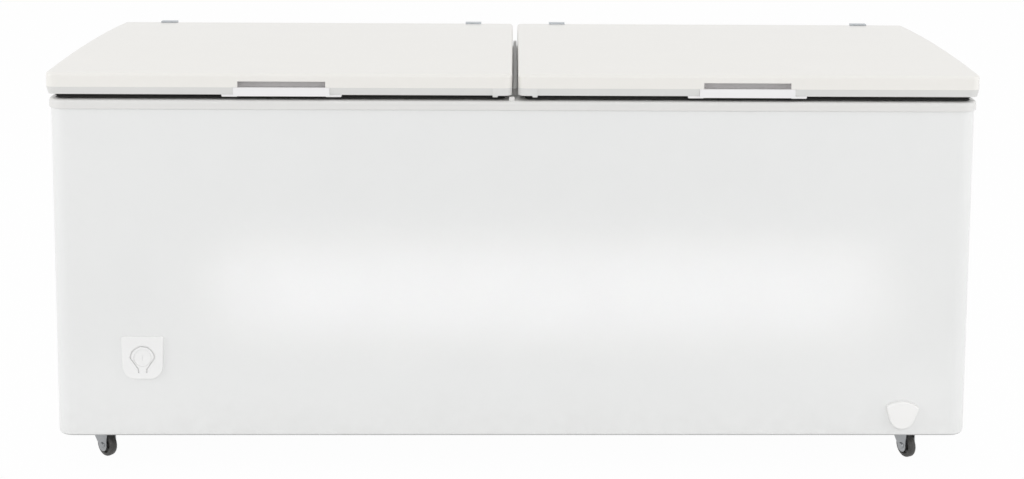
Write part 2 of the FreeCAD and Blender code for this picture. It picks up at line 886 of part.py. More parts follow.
drain_well = rod(
    "drain_well", "z", ("drain_x", "drain_y", f"cavity_floor - liner_sheet - {PAST}"),
    "drain_bore_radius", f"liner_sheet + 2 * {PAST}",
)
node(cut("liner_cut", tub_form("tub_outside", "liner_sheet"), tub_form("tub_inside", "0"), drain_well),
     "inner_liner")

# Foam: all that is left between the sheets.

foam_tub = tub_form("foam_tub", "liner_sheet + fit_gap")
foam_bay = box(
    "foam_bay", (f"inside_left - {PAST}", "machine_right + bulkhead_sheet + fit_gap"),
    (f"inside_front - {PAST}", f"panel_front + {PAST}"),
    (f"base_top - {PAST}", "machine_roof + bulkhead_sheet + fit_gap"),
)
foam_drain = pipe(
    "foam_drain",
    [("drain_x", "drain_y", "cavity_floor"), ("drain_x", "drain_y", "drain_z"),
     ("drain_x", f"inside_front - {PAST}", "drain_z")],
    "drain_bend", "drain_tube_radius + fit_gap",
)
node(cut("foam_cut", inner_space, foam_tub, foam_bay, foam_drain), "insulation_foam")

# Moulded rim: a top plate with an outer skirt over the wrap, an inner lip inside the liner, and a stop nub.

rim_block = rounded_block(
    "rim_block", ("-half_width", "half_width"), ("frame_front", "frame_rear"), ("frame_bottom", "frame_top"),
    front_corner="shell_corner_radius + frame_overhang", bottom="frame_lower_radius", top="frame_edge_radius",
)
rim_mouth = rounded_block(
    "rim_mouth", ("mouth_left", "mouth_right"), ("mouth_front", "mouth_rear"),
    (f"frame_bottom - {PAST}", f"frame_top + {PAST}"), corner="liner_edge_radius - lip_inner",
)
rim_hollow = rounded_block(
    "rim_hollow", ("shell_left - fit_gap", "shell_right + fit_gap"),
    ("shell_front - fit_gap", f"shell_rear + {PAST}"), (f"frame_bottom - {PAST}", "frame_under"),
    front_corner="shell_corner_radius + fit_gap",
)
lip_block = rounded_block(
    "lip_block", ("cavity_left + lip_outer", "cavity_right - lip_outer"),
    ("cavity_front + lip_outer", "cavity_rear - lip_outer"), ("frame_top - frame_lip_drop", "frame_top"),
    corner="liner_edge_radius - lip_outer",
)
rim_nub = rounded_block(
    "rim_nub", ("-nub_offset - nub_width / 2", "-nub_offset + nub_width / 2"),
    ("frame_front + frame_edge_radius", "frame_front + frame_edge_radius + nub_depth"),
    ("frame_under", "frame_top + nub_height"), corner="nub_radius", top="nub_radius / 2",
)
rim_plate = cut("rim_plate", rim_block, rim_hollow)
node(cut("rim_cut", fuse("rim_fuse", rim_plate, rim_nub, lip_block), rim_mouth), "top_frame")

# Cross bar level with the rim, with a rib that stands up in the gap between the two lids.

divider = prism(
    "divider", "XZ_Plane",
    [("-divider_width / 2", "divider_bottom"), ("divider_width / 2", "divider_bottom"),
     ("divider_width / 2", "frame_top"), ("-divider_width / 2", "frame_top")],
    "mouth_front + fit_gap", "mouth_rear - fit_gap",
)
fillet(divider, "divider_radius",
       lambda edge: runs_along(edge, Y_AXIS) and lies_at(edge, "z", "divider_bottom"))
divider_rib = box("divider_rib", ("-divider_rib_width / 2", "divider_rib_width / 2"),
                  ("mouth_front + fit_gap", "frame_rear - frame_edge_radius"),
                  ("frame_top", "frame_top + divider_rib_height"))
node(fuse("divider_fuse", divider, divider_rib), "centre_divider")

# Louvred cover of the machine bay.


def louvred_cover():
    """A sheet with a column of pressed louvres that shed dust downwards."""
    body = new_body("louvred_cover")
    points, arcs = rounded_points(
        ("cover_left", "cover_right"), ("cover_bottom", "cover_top"), "cover_corner_radius"
    )
    pad(body, outline(body, "XZ_Plane", "-(cover_rear)", points, arcs), "cover_sheet")
    left = "window_left + louvre_margin"
    right = "window_right - louvre_margin"
    low = "window_bottom + louvre_start"
    hood_points = [
        ("cover_rear - cover_sheet / 2", low),
        ("cover_rear + louvre_reach", low),
        ("cover_rear - cover_sheet / 2", f"{low} + louvre_height"),
    ]
    hood = pad(body, outline(body, "YZ_Plane", left, hood_points), f"({right}) - ({left})")
    throat_points = [
        (f"panel_rear - {PAST}", f"{low} - cover_sheet"),
        ("cover_rear + louvre_reach - 2 * cover_sheet", f"{low} - cover_sheet"),
        (f"panel_rear - {PAST}", f"{low} + louvre_height - cover_sheet"),
    ]
    sketch = outline(body, "YZ_Plane", f"{left} + cover_sheet", throat_points)
    throat = body.newObject("PartDesign::Pocket", "louvre_throat")
    throat.Profile = sketch
    throat.Reversed = True
    bind(throat, "Length", f"({right}) - ({left}) - 2 * cover_sheet")
    throat.recompute()
    column = body.newObject("PartDesign::LinearPattern", "louvre_column")
    column.Originals = [hood, throat]
    column.Direction = (origin_plane(body, "Z_Axis"), [""])
    bind(column, "Length", "louvre_pitch * (louvre_count - 1)")
    bind(column, "Occurrences", "louvre_count")
    body.Tip = column
    return body


gland_hole = rod("gland_hole", "y", ("gland_x", f"panel_rear - {PAST}", "gland_z"),
                 "gland_neck_radius + fit_gap", f"cover_sheet + 2 * {PAST}")
node(cut("cover_cut", louvred_cover(), gland_hole, *cover_screw_holes("cover_hole")), "machine_cover")


def turned_screw(name, x, y, z, radius, length, head_radius, head):
    """A round-headed screw that points to the front, with its head's seat at a point."""
    body = spun(
        name,
        [("0", f"-({length})"), (radius, f"-({length})"), (radius, "0"), (head_radius, "0"),
         (head_radius, f"{head} / 2"), (f"{head_radius} / 2", head), ("0", head)],
    )
    body.Placement = Placement(Vector(), Rotation(X_AXIS, -90))
    place(body, x, y, z)
    return body


cover_screws = [
    turned_screw(f"cover_screw_{number}", x, "cover_rear + running_gap", z, "cover_screw_radius",
                 "cover_screw_length", "cover_screw_head_radius", "cover_screw_head")
    for number, (x, z) in enumerate(COVER_SCREW_SPOTS)
]
node(group("cover_screw_group", *cover_screws), "machine_cover_screws")

gland = spun(
    "gland",
    [("gland_bore_radius", "-gland_collar - cover_sheet - running_gap"),
     ("gland_neck_radius + gland_collar / 2", "-gland_collar - cover_sheet - running_gap"),
     ("gland_collar_radius", "-cover_sheet - running_gap"),
     ("gland_neck_radius", "-cover_sheet - running_gap"), ("gland_neck_radius", "running_gap"),
     ("gland_collar_radius", "running_gap"), ("gland_neck_radius + gland_collar / 2", "gland_collar"),
     ("gland_bore_radius", "gland_collar")],
)
gland.Placement = Placement(Vector(), Rotation(X_AXIS, -90))
place(gland, "gland_x", "cover_rear", "gland_z")
node(gland, "cord_gland")

# Compressor: drawn steel shell on a plate that stands on four rubber bushes.

GROMMET_SPOTS = [
    (f"compressor_x + {across} * (mount_width / 2 - grommet_inset)",
     f"compressor_y + {along} * (mount_length / 2 - grommet_inset)")
    for across in (-1, 1) for along in (-1, 1)
]
mount_plate = rounded_block(
    "mount_plate", ("compressor_x - mount_width / 2", "compressor_x + mount_width / 2"),
    ("compressor_y - mount_length / 2", "compressor_y + mount_length / 2"), ("mount_bottom", "mount_top"),
    corner="mount_corner_radius",
)
mount_saddle = rounded_block(
    "mount_saddle_block",
    ("compressor_x - compressor_width / 4", "compressor_x + compressor_width / 4"),
    ("compressor_y - compressor_length / 4", "compressor_y + compressor_length / 4"),
    ("mount_bottom", "compressor_bottom"), corner="mount_corner_radius",
)
mount_holes = [
    rod(f"mount_hole_{number}", "z", (x, y, f"mount_bottom - {PAST}"),
        "grommet_neck_radius + running_gap", f"mount_sheet + 2 * {PAST}")
    for number, (x, y) in enumerate(GROMMET_SPOTS)
]
node(cut("mount_cut", fuse("mount_fuse", mount_plate, mount_saddle), *mount_holes), "compressor_mount")

grommets = []
for number, (x, y) in enumerate(GROMMET_SPOTS):
    grommet = spun(
        f"grommet_{number}",
        [("grommet_bore_radius", "0"), ("grommet_radius", "0"),
         ("grommet_radius", "grommet_height - running_gap"),
         ("grommet_neck_radius", "grommet_height - running_gap"),
         ("grommet_neck_radius", "grommet_height + mount_sheet + running_gap"),
         ("grommet_radius - grommet_bore_radius / 2", "grommet_height + mount_sheet + running_gap"),
         ("grommet_neck_radius", "grommet_height + mount_sheet + grommet_cap_height"),
         ("grommet_bore_radius", "grommet_height + mount_sheet + grommet_cap_height")],
    )
    place(grommet, x, y, "base_top")
    grommets.append(grommet)
node(group("grommet_group", *grommets), "compressor_grommets")

compressor_can = rounded_block(
    "compressor_can", ("can_left", "can_right"), ("can_front", "can_rear"),
    ("compressor_bottom", "compressor_bottom + compressor_height"),
    corner="compressor_corner_radius", bottom="compressor_bottom_radius", top="compressor_top_radius",
)
compressor_seam = rounded_block(
    "compressor_seam_ring",
    ("can_left - compressor_seam", "can_right + compressor_seam"),
    ("can_front - compressor_seam", "can_rear + compressor_seam"),
    ("seam_bottom", "seam_top"), corner="compressor_corner_radius + compressor_seam",
)
node(fuse("compressor_fuse", compressor_can, compressor_seam), "compressor_shell")

relay = rounded_block(
    "relay", ("relay_left", "relay_right"),
    ("compressor_y - relay_width / 2", "compressor_y + relay_width / 2"),
    ("compressor_bottom + relay_rise", "compressor_bottom + relay_rise + relay_height"),
)
fillet(relay, "relay_radius", lambda edge: runs_along(edge, Z_AXIS) and lies_at(edge, "x", "relay_right"))
seam_slot = box(
    "relay_seam_slot", ("can_left", "can_right + compressor_seam + fit_gap"), ("can_front", "can_rear"),
    ("seam_bottom - fit_gap", "seam_top + fit_gap"),
)
node(cut("relay_cut", relay, seam_slot), "relay_cover")

# Pipes from the compressor to the bulkhead, behind which they run in the foam.

node(
    pipe("suction_pipe",
         [("compressor_x", "pipe_start", "suction_z"), ("compressor_x", "suction_bend", "suction_z"),
          ("compressor_x", "suction_bend", "suction_top"),
          ("machine_right - fit_gap", "suction_bend", "suction_top")],
         "tube_bend", "tube_radius"),
    "suction_tube",
)
node(
    pipe("discharge_pipe",
         [("compressor_x", "pipe_start", "discharge_z"), ("compressor_x", "discharge_bend", "discharge_z"),
          ("compressor_x", "discharge_bend", "discharge_top"),
          ("machine_right - fit_gap", "discharge_bend", "discharge_top")],
         "tube_bend", "tube_radius"),
    "discharge_tube",
)

drier = spun(
    "drier",
    [("0", "0"), ("drier_end_radius", "0"), ("drier_radius", "drier_cone"),
     ("drier_radius", "drier_length - drier_cone"), ("drier_end_radius", "drier_length"),
     ("0", "drier_length")],
)
place(drier, "machine_right - drier_radius - fit_gap", "panel_front - drier_setback",
      "base_top + drier_height")
node(drier, "filter_drier")

# Thermostat: a plate with a channel round the dial that narrows to a neck, the dial, and the switch.


def thermostat_plate_form():
    """The front plate, square at the top and drawn in to a round bottom."""
    left = "thermostat_x - thermostat_width / 2"
    right = "thermostat_x + thermostat_width / 2"
    low = "thermostat_z - thermostat_height / 2"
    high = "thermostat_z + thermostat_height / 2"
    points = [
        (f"{left} + thermostat_taper", low), (f"{right} - thermostat_taper", low),
        (right, high), (left, high),
    ]
    body = prism("thermostat_front_plate", "XZ_Plane", points, "thermostat_front", "shell_front")
    for level, radius in ((low, "thermostat_bottom_radius"), (high, "thermostat_top_radius")):
        fillet(body, radius, lambda edge: runs_along(edge, Y_AXIS) and lies_at(edge, "z", level))
    fillet(body, "thermostat_edge_radius", lambda edge: lies_at(edge, "y", "thermostat_front"))
    return body


def dial_channel_form(name, inset, foot, front, rear):
    """The shape inside the channel's outer or inner wall: a round bulb whose sides run in to a neck."""
    bulb = f"(dial_channel_radius - ({inset}))"
    neck = f"(dial_neck_width / 2 - ({inset}))"
    points = [
        (f"thermostat_x - {neck}", foot), (f"thermostat_x + {neck}", foot),
        (f"thermostat_x + {neck}", "dial_neck_top"), (f"thermostat_x + {bulb}", "thermostat_z"),
        ("thermostat_x", f"thermostat_z + {bulb}"), (f"thermostat_x - {bulb}", "thermostat_z"),
        (f"thermostat_x - {neck}", "dial_neck_top"),
    ]
    return prism(name, "XZ_Plane", points, front, rear, {3: bulb, 4: bulb})


thermostat_cup = rod(
    "thermostat_cup", "y", ("thermostat_x", "shell_front - fit_gap", "thermostat_z"),
    "dial_cup_radius", "cup_rear - shell_front + fit_gap",
)
dial_pocket = rod("dial_pocket", "y", ("thermostat_x", f"thermostat_front - {PAST}", "thermostat_z"),
                  "dial_pocket_radius", f"dial_floor - thermostat_front + {PAST}")
channel_floor = "thermostat_front + dial_channel_depth"
dial_channel = cut(
    "dial_channel",
    dial_channel_form("channel_outside", "0", "dial_neck_foot", f"thermostat_front - {PAST}", channel_floor),
    dial_channel_form("channel_inside", "dial_channel_width", f"dial_neck_foot - {PAST}",
                      f"thermostat_front - 2 * {PAST}", f"{channel_floor} + {PAST}"),
)
spindle_hole = rod("spindle_hole", "y", ("thermostat_x", f"dial_floor - {PAST}", "thermostat_z"),
                   "dial_spindle_radius + fit_gap", f"dial_cup_wall + 2 * {PAST}")
node(cut("thermostat_cut", fuse("thermostat_fuse", thermostat_plate_form(), thermostat_cup),
         dial_channel, dial_pocket, spindle_hole),
     "thermostat_plate")

switch_box = rounded_block(
    "switch_box", ("thermostat_x - thermostat_body_width / 2", "thermostat_x + thermostat_body_width / 2"),
    ("cup_rear", "cup_rear + thermostat_body_depth"),
    ("thermostat_z - thermostat_body_height / 2", "thermostat_z + thermostat_body_height / 2"),
    corner="thermostat_body_radius",
)
spindle_socket = rod("spindle_socket", "y", ("thermostat_x", f"cup_rear - {PAST}", "thermostat_z"),
                     "dial_spindle_radius + running_gap", f"dial_spindle_length + {PAST}")
node(cut("switch_cut", switch_box, spindle_socket), "thermostat_body")

dial_disc = rod(
    "dial_disc", "y", ("thermostat_x", "dial_face", "thermostat_z"), "dial_radius", "dial_thickness"
)
dial_spindle = rod(
    "dial_spindle", "y", ("thermostat_x", "dial_face + dial_slot_depth + fit_gap", "thermostat_z"),
    "dial_spindle_radius", "cup_rear + dial_spindle_length - 3 * fit_gap - dial_face - dial_slot_depth",
)
dial_slot = box("dial_slot", ("thermostat_x - dial_slot_width / 2", "thermostat_x + dial_slot_width / 2"),
                (f"dial_face - {PAST}", "dial_face + dial_slot_depth"),
                ("thermostat_z - dial_slot_length / 2", "thermostat_z + dial_slot_length / 2"))
node(cut("dial_cut", fuse("dial_fuse", dial_disc, dial_spindle), dial_slot), "thermostat_knob")

# Drain: an elbow from the floor of the tub, a spout on the front, a cap and a plug.

drain_top = "cavity_floor - liner_sheet - fit_gap"
node(
    pipe("drain_pipe",
         [("drain_x", "drain_y", drain_top), ("drain_x", "drain_y", "drain_z"),
          ("drain_x", "shell_front + drain_sleeve_length + fit_gap", "drain_z")],
         "drain_bend", "drain_tube_radius", "drain_pipe_bore_radius"),
    "drain_tube",
)
spout = spun(
    "spout",
    [("drain_bore_radius", "-drain_sleeve_length"), ("drain_tube_radius", "-drain_sleeve_length"),
     ("drain_tube_radius", "0"), ("drain_flange_radius", "0"), ("drain_flange_radius", "drain_flange"),
     ("drain_nipple_radius", "drain_flange"), ("drain_nipple_radius", "drain_flange + drain_nipple_length"),
     ("drain_bore_radius", "drain_flange + drain_nipple_length")],
)
spout.Placement = Placement(Vector(), Rotation(X_AXIS, 90))
place(spout, "drain_x", "shell_front", "drain_z")
node(spout, "drain_spout")


def shield_form(name, inset, front, rear):
    """The drain cap's outline about its own middle: an arched top, and sides that run into a round foot."""
    side = f"(drain_cap_width / 2 - ({inset}))"
    round_foot = f"(drain_cap_foot_radius - ({inset}))"
    centre = "(drain_cap_foot_radius - drain_cap_height / 2)"
    rise = f"(drain_cap_shoulder - {centre})"
    turn = f"(asin({round_foot} / sqrt({side} ^ 2 + {rise} ^ 2)) + atan({rise} / {side}))"
    foot_x = f"{round_foot} * sin({turn})"
    foot_z = f"{centre} - {round_foot} * cos({turn})"
    arch = f"(drain_cap_crown_radius - ({inset}))"
    high = f"(drain_cap_height / 2 - ({inset}) - {arch} + sqrt({arch} ^ 2 - {side} ^ 2))"
    points = [
        (f"-{foot_x}", foot_z), (foot_x, foot_z), (side, "drain_cap_shoulder"), (side, high),
        (f"-{side}", high), (f"-{side}", "drain_cap_shoulder"),
    ]
    body = prism(name, "XZ_Plane", points, front, rear, {0: round_foot, 3: arch})
    fillet(body, f"drain_cap_shoulder_radius - ({inset})",
           lambda edge: runs_along(edge, Y_AXIS) and lies_at(edge, "z", high))
    return body


cap_outside = shield_form("cap_outside", "0", "cap_front", "shell_front - fit_gap")
fillet(cap_outside, "drain_cap_edge_radius", lambda edge: lies_at(edge, "y", "cap_front"))
cap_inside = shield_form("cap_inside", "drain_cap_wall", "cap_floor", f"shell_front + {PAST}")
cap_shell = cut("cap_shell", cap_outside, cap_inside)
cap_ring = rod("cap_ring", "y", ("0", "cap_floor - drain_cap_wall / 2", "0"),
               "drain_nipple_radius + fit_gap + drain_cap_ring",
               "spout_front + drain_nipple_length - fit_gap - cap_floor + drain_cap_wall / 2")
cap_socket = rod(
    "cap_socket", "y", ("0", "cap_floor", "0"), "drain_nipple_radius + fit_gap", "drain_cap_proud"
)
drain_cap = cut("cap_cut", fuse("cap_fuse", cap_shell, cap_ring), cap_socket)
drain_cap.Placement = Placement(Vector(), Rotation(Y_AXIS, value("drain_cap_turn")))
bind(drain_cap, "Placement.Rotation.Angle", "drain_cap_turn")
bind(drain_cap, "Placement.Base.x", "drain_x")
bind(drain_cap, "Placement.Base.z", "drain_z")
node(drain_cap, "drain_cap")

plug = spun(
    "plug",
    [("0", "-drain_plug_stem"), ("drain_pipe_bore_radius - fit_gap", "-drain_plug_stem"),
     ("drain_pipe_bore_radius - fit_gap", "0"), ("drain_plug_radius", "0"),
     ("drain_plug_radius", "drain_plug_flange"),
     ("drain_plug_knob_radius", "drain_plug_flange"), ("drain_plug_knob_radius", "drain_plug_knob"),
     ("0", "drain_plug_knob")],
)
place(plug, "drain_x", "drain_y", "cavity_floor + fit_gap")
node(plug, "drain_plug")

# Lids. Each is a crowned skin on a tapered band, filled with foam, with a gasket and a handle.


def lid_span(side):
    """The lid's outer and inner edge as a low and a high formula on X."""
    if side == "left":
        return "-half_width", "-lid_split / 2"
    return "lid_split / 2", "half_width"


def crown_form(name, side, inset, bottom):
    """The crowned upper part of a lid, inset on the sides and the top."""
    left, right = lid_span(side)
    points = [
        (f"lid_front + {inset}", bottom),
        (f"lid_front + {inset}", f"lid_bottom + lid_front_height - ({inset})"),
        (f"lid_rear - ({inset})", f"lid_bottom + lid_rear_height - ({inset})"),
        (f"lid_rear - ({inset})", bottom),
    ]
    body = prism(name, "YZ_Plane", points, f"{left} + {inset}", f"{right} - ({inset})",
                 {1: "-lid_crown_radius"})
    for level, radius in ((points[0][0], "lid_corner_radius"), (points[2][0], "lid_rear_corner_radius")):
        fillet(body, f"{radius} - ({inset})",
               lambda edge: runs_along(edge, Z_AXIS) and lies_at(edge, "y", level))
    floor = value(bottom) + TOLERANCE
    fillet(body, f"lid_edge_radius - ({inset})", lambda edge: edge.BoundBox.ZMin > floor)
    return body


def slab_form(name, side, inset, low, high):
    """A straight slab of the lid's plan, inset all round."""
    left, right = lid_span(side)
    return rounded_block(
        name, (f"{left} + {inset}", f"{right} - ({inset})"),
        (f"lid_front + {inset}", f"lid_rear - ({inset})"), (low, high),
        front_corner=f"lid_corner_radius - ({inset})", rear_corner=f"lid_rear_corner_radius - ({inset})",
    )


def band_form(name, side):
    """The band under the skin, drawn in towards its lower edge."""
    left, right = lid_span(side)
    body = new_body(name)
    points, arcs = rounded_points((left, right), ("lid_front", "lid_rear"), "lid_corner_radius",
                                  "lid_rear_corner_radius")
    feature = pad(body, outline(body, "XY_Plane", "band_top", points, arcs), "lid_band_height",
                  "-atan(lid_band_taper / lid_band_height)")
    feature.Reversed = True
    feature.recompute()
    return body


def corner_cap(side):
    """The square-sided end of the band beside the other lid, with a small stop foot under it."""
    left, right = lid_span(side)
    if side == "left":
        x = (f"{right} - lid_cap_length", f"{right} + {PAST}")
        foot_x = (f"{right} - lid_cap_length", f"{right} - lid_cap_length + lid_cap_foot")
    else:
        x = (f"{left} - {PAST}", f"{left} + lid_cap_length")
        foot_x = (f"{left} + lid_cap_length - lid_cap_foot", f"{left} + lid_cap_length")
    corner = box(f"{side}_cap_corner", x, (f"lid_front - {PAST}", "lid_front + lid_cap_length"),
                 ("lid_bottom", "band_top"))
    slab = slab_form(f"{side}_cap_slab", side, "0", "lid_bottom", "band_top")
    foot = rounded_block(
        f"{side}_cap_foot", foot_x,
        ("lid_front + handle_lug_setback", "lid_front + handle_lug_setback + handle_lug_depth"),
        ("lid_bottom - lid_cap_drop", "lid_bottom"), bottom="lid_cap_radius",
    )
    return common(f"{side}_cap", slab, corner), foot


def plug_form(name, side, inset, top):
    """The raised middle of the lid's underside, which reaches into the mouth."""
    if side == "left":
        x = (f"mouth_left + lid_plug_margin + {inset}", f"-divider_width / 2 - lid_plug_margin - ({inset})")
    else:
        x = (f"divider_width / 2 + lid_plug_margin + {inset}", f"mouth_right - lid_plug_margin - ({inset})")
    return rounded_block(
        name, x, (f"mouth_front + lid_plug_margin + {inset}", f"mouth_rear - lid_plug_margin - ({inset})"),
        (f"lid_bottom - lid_plug_drop + {inset}", top),
        corner=f"lid_plug_radius - ({inset})", bottom=f"lid_plug_edge_radius - ({inset})",
    )


def handle_middle(side):
    """Where the handle's middle lies on X, a little nearer to the split than the lid's middle."""
    left, right = lid_span(side)
    sign = "+" if side == "left" else "-"
    return f"(({left} + {right}) / 2 {sign} handle_inset)"


def lip_block(name, side, room, front, low):
    """The handle's lip at the band's level, with some room on the buried sides."""
    middle = handle_middle(side)
    half = f"(handle_width / 2 + handle_cheek + {room})"
    return box(f"{name}_lip", (f"{middle} - {half}", f"{middle} + {half}"),
               (front, f"lid_front + handle_lip + {room}"), (low, f"band_top - fit_gap + {room}"))


def housing_block(name, side, room, front):
    """The pocket's housing above the lip, with some room on the buried sides."""
    middle = handle_middle(side)
    half = f"(handle_width / 2 + handle_wall + {room})"
    return box(f"{name}_housing", (f"{middle} - {half}", f"{middle} + {half}"),
               (front, f"lid_front + handle_depth + handle_wall + {room}"),
               (f"band_top - fit_gap - handle_wall - {room}", f"lid_bottom + handle_top + {room}"))


def handle_room(side):
    """The space that a handle and its pocket take in the lid's band."""
    name = f"{side}_tray_room"
    past = f"lid_front - {PAST}"
    lip = lip_block(name, side, "fit_gap", past, f"lid_bottom - {PAST} - handle_lip_drop")
    return fuse(name, lip, housing_block(name, side, "fit_gap", past))


def handle_piece(side):
    """The lip under the finger slot, with a stop lug at each end."""
    middle = handle_middle(side)
    lip = lip_block(f"{side}_handle", side, "0", "lid_front", "lid_bottom - handle_lip_drop")
    lugs = []
    for end in (-1, 1):
        lug_middle = f"{middle} + {end} * (handle_width / 2 + handle_lug_width / 2)"
        lug = rounded_block(
            f"{side}_lug_{'a' if end < 0 else 'b'}",
            (f"{lug_middle} - handle_lug_width / 2", f"{lug_middle} + handle_lug_width / 2"),
            ("lid_front + handle_lug_setback", "lid_front + handle_lug_setback + handle_lug_depth"),
            ("lid_bottom - handle_lug_drop", "lid_bottom"), bottom="handle_lug_radius",
        )
        lugs.append(lug)
    return fuse(f"{side}_handle_fuse", lip, *lugs)


def pocket_piece(side):
    """The moulded pocket behind the finger slot, which sits in the foam and clears the lip."""
    middle = handle_middle(side)
    half = "handle_width / 2"
    past = f"lid_front - {PAST}"
    housing = housing_block(f"{side}_pocket", side, "0", "handle_front")
    lip_room = lip_block(f"{side}_pocket_room", side, "fit_gap", past, "lid_bottom")
    slot = rounded_block(
        f"{side}_finger_slot", (f"{middle} - {half}", f"{middle} + {half}"),
        (past, "lid_front + handle_depth"),
        ("band_top - fit_gap", "lid_bottom + handle_height"), rear_corner="handle_corner_radius",
    )
    return cut(f"{side}_pocket_cut", housing, slot, lip_room)


def foam_blocks(side, foam):
    """The lid's foam as blocks: a core behind the pocket, and strips beside, over and under it."""
    left, right = lid_span(side)
    middle = handle_middle(side)
    reach = "(handle_width / 2 + handle_cheek + fit_gap)"
    front = f"lid_front - {PAST}"
    rear = "lid_front + handle_depth + handle_wall + fit_gap"
    low = f"lid_bottom - lid_plug_drop - {PAST}"
    high = "lid_bottom + lid_front_height + lid_rear_height"
    whole = (f"{left} - {PAST}", f"{right} + {PAST}")
    zones = {
        "core": (whole, (f"{rear} + fit_gap", f"lid_rear + {PAST}"), (low, high)),
        "left": ((whole[0], f"{middle} - {reach}"), (front, rear), (low, high)),
        "right": ((f"{middle} + {reach}", whole[1]), (front, rear), (low, high)),
        "over": ((f"{middle} - {reach} + fit_gap", f"{middle} + {reach} - fit_gap"), (front, rear),
                 ("lid_bottom + handle_top + fit_gap", high)),
        "under": ((f"{middle} - {reach} + fit_gap", f"{middle} + {reach} - fit_gap"),
                  ("lid_front + handle_lip + fit_gap", rear), (low, "band_top - 2 * fit_gap - handle_wall")),
    }
    return [common(f"{side}_foam_{zone}", foam, box(f"{side}_zone_{zone}", *spans))
            for zone, spans in zones.items()]


def gasket_piece(side):
    """A seal between the lid's band and the rim, necked in at half its height."""
    left, right = lid_span(side)

    def ring(name, outer, inner, low, high):
        solids = []
        for part_name, inset, radius, grow in ((f"{name}_outer", outer, "gasket_radius", "0"),
                                               (f"{name}_inner", inner, "gasket_radius / 2", f"{PAST}")):
            solids.append(rounded_block(
                part_name, (f"{left} + {inset}", f"{right} - ({inset})"),
                (f"lid_front + {inset}", f"lid_rear - ({inset})"),
                (f"{low} - {grow}", f"{high} + {grow}"), corner=radius,
            ))
        return cut(name, *solids)

    neck_low = "frame_top + lid_gap / 2 - gasket_groove_height / 2"
    neck_high = "frame_top + lid_gap / 2 + gasket_groove_height / 2"
    inner = "gasket_inset + gasket_width"
    return fuse(
        f"{side}_gasket_fuse",
        ring(f"{side}_gasket_lower", "gasket_inset", inner, "frame_top + fit_gap", neck_low),
        ring(f"{side}_gasket_neck", "gasket_inset + gasket_groove", f"{inner} - gasket_groove",
             neck_low, neck_high),
        ring(f"{side}_gasket_upper", "gasket_inset", inner, neck_high, "lid_bottom"),
    )


HINGES = {
    "left_outer": "-half_width + hinge_outer_offset",
    "left_inner": "-lid_split / 2 - hinge_inner_offset",
    "right_inner": "lid_split / 2 + hinge_inner_offset",
    "right_outer": "half_width - hinge_outer_offset",
}


def hinge_leaf(name, x):
    """The moving leaf: a plate on the lid's back, a tab over its top and a knuckle on the pin."""
    half = "hinge_width / 2"
    knuckle = f"{half} - hinge_plate - hinge_knuckle_gap"
    profile = [
        ("lid_rear + fit_gap", "pin_z - hinge_arm / 2"), ("leaf_rear", "pin_z - hinge_arm / 2"),
        ("leaf_rear", "tab_top"), ("lid_rear - hinge_tab_reach", "tab_top"),
        ("lid_rear - hinge_tab_reach", "tab_under"), ("lid_rear + fit_gap", "tab_under"),
    ]
    plate = prism(f"{name}_leaf_plate", "YZ_Plane", profile, f"{x} - {half}", f"{x} + {half}")
    arm = box(f"{name}_leaf_arm", (f"{x} - ({knuckle})", f"{x} + ({knuckle})"),
              ("lid_rear + fit_gap", "pin_y"), ("pin_z - hinge_arm / 2", "pin_z + hinge_arm / 2"))
    barrel = rod(f"{name}_leaf_barrel", "x", (f"{x} - ({knuckle})", "pin_y", "pin_z"),
                 "hinge_knuckle_radius", f"2 * ({knuckle})")
    bore = rod(f"{name}_leaf_bore", "x", (f"{x} - {half}", "pin_y", "pin_z"),
               "hinge_pin_radius + running_gap", "hinge_width")
    return cut(f"{name}_leaf", fuse(f"{name}_leaf_fuse", plate, arm, barrel), bore)


def lid(side):
    """All the pieces of one lid."""
    middle = handle_middle(side)
    skin_mouth = rounded_block(
        f"{side}_skin_mouth", (f"{middle} - handle_width / 2", f"{middle} + handle_width / 2"),
        (f"lid_front - {PAST}", "lid_front + handle_depth"),
        (f"band_top - {PAST}", "lid_bottom + handle_height"),
    )
    node(
        cut(f"{side}_skin_cut", crown_form(f"{side}_crown", side, "0", "band_top"),
            crown_form(f"{side}_crown_inside", side, "lid_skin_wall", f"band_top - {PAST}"), skin_mouth),
        f"{side}_lid_skin",
    )
    tray = fuse(f"{side}_tray", band_form(f"{side}_band", side), *corner_cap(side),
                plug_form(f"{side}_plug_outside", side, "0", "tray_floor"))
    tray_wall = "lid_band_taper + lid_liner_wall"
    node(
        cut(f"{side}_tray_cut", tray,
            slab_form(f"{side}_tray_inside", side, tray_wall, "tray_floor", f"band_top + {PAST}"),
            plug_form(f"{side}_plug_inside", side, "lid_liner_wall", f"tray_floor + {PAST}"),
            handle_room(side)),
        f"{side}_lid_liner",
    )
    foam_wall = "lid_skin_wall + fit_gap"
    foam = fuse(
        f"{side}_foam_fuse",
        crown_form(f"{side}_foam_crown", side, foam_wall, "band_top + fit_gap"),
        slab_form(f"{side}_foam_slab", side, f"{tray_wall} + fit_gap", "tray_floor + fit_gap",
                  "band_top + fit_gap"),
        plug_form(f"{side}_foam_plug", side, "lid_liner_wall + fit_gap", "tray_floor + fit_gap"),
    )
    node(group(f"{side}_foam_group", *foam_blocks(side, foam)), f"{side}_lid_foam")
    node(gasket_piece(side), f"{side}_lid_gasket")
    node(handle_piece(side), f"{side}_lid_handle")
    node(pocket_piece(side), f"{side}_lid_pocket")
    leaves = [hinge_leaf(name, x) for name, x in HINGES.items() if name.startswith(side)]
    node(group(f"{side}_leaf_group", *leaves), f"{side}_hinge_leaves")


lid("left")
lid("right")

# Fixed halves of the hinges, on the back of the cabinet.


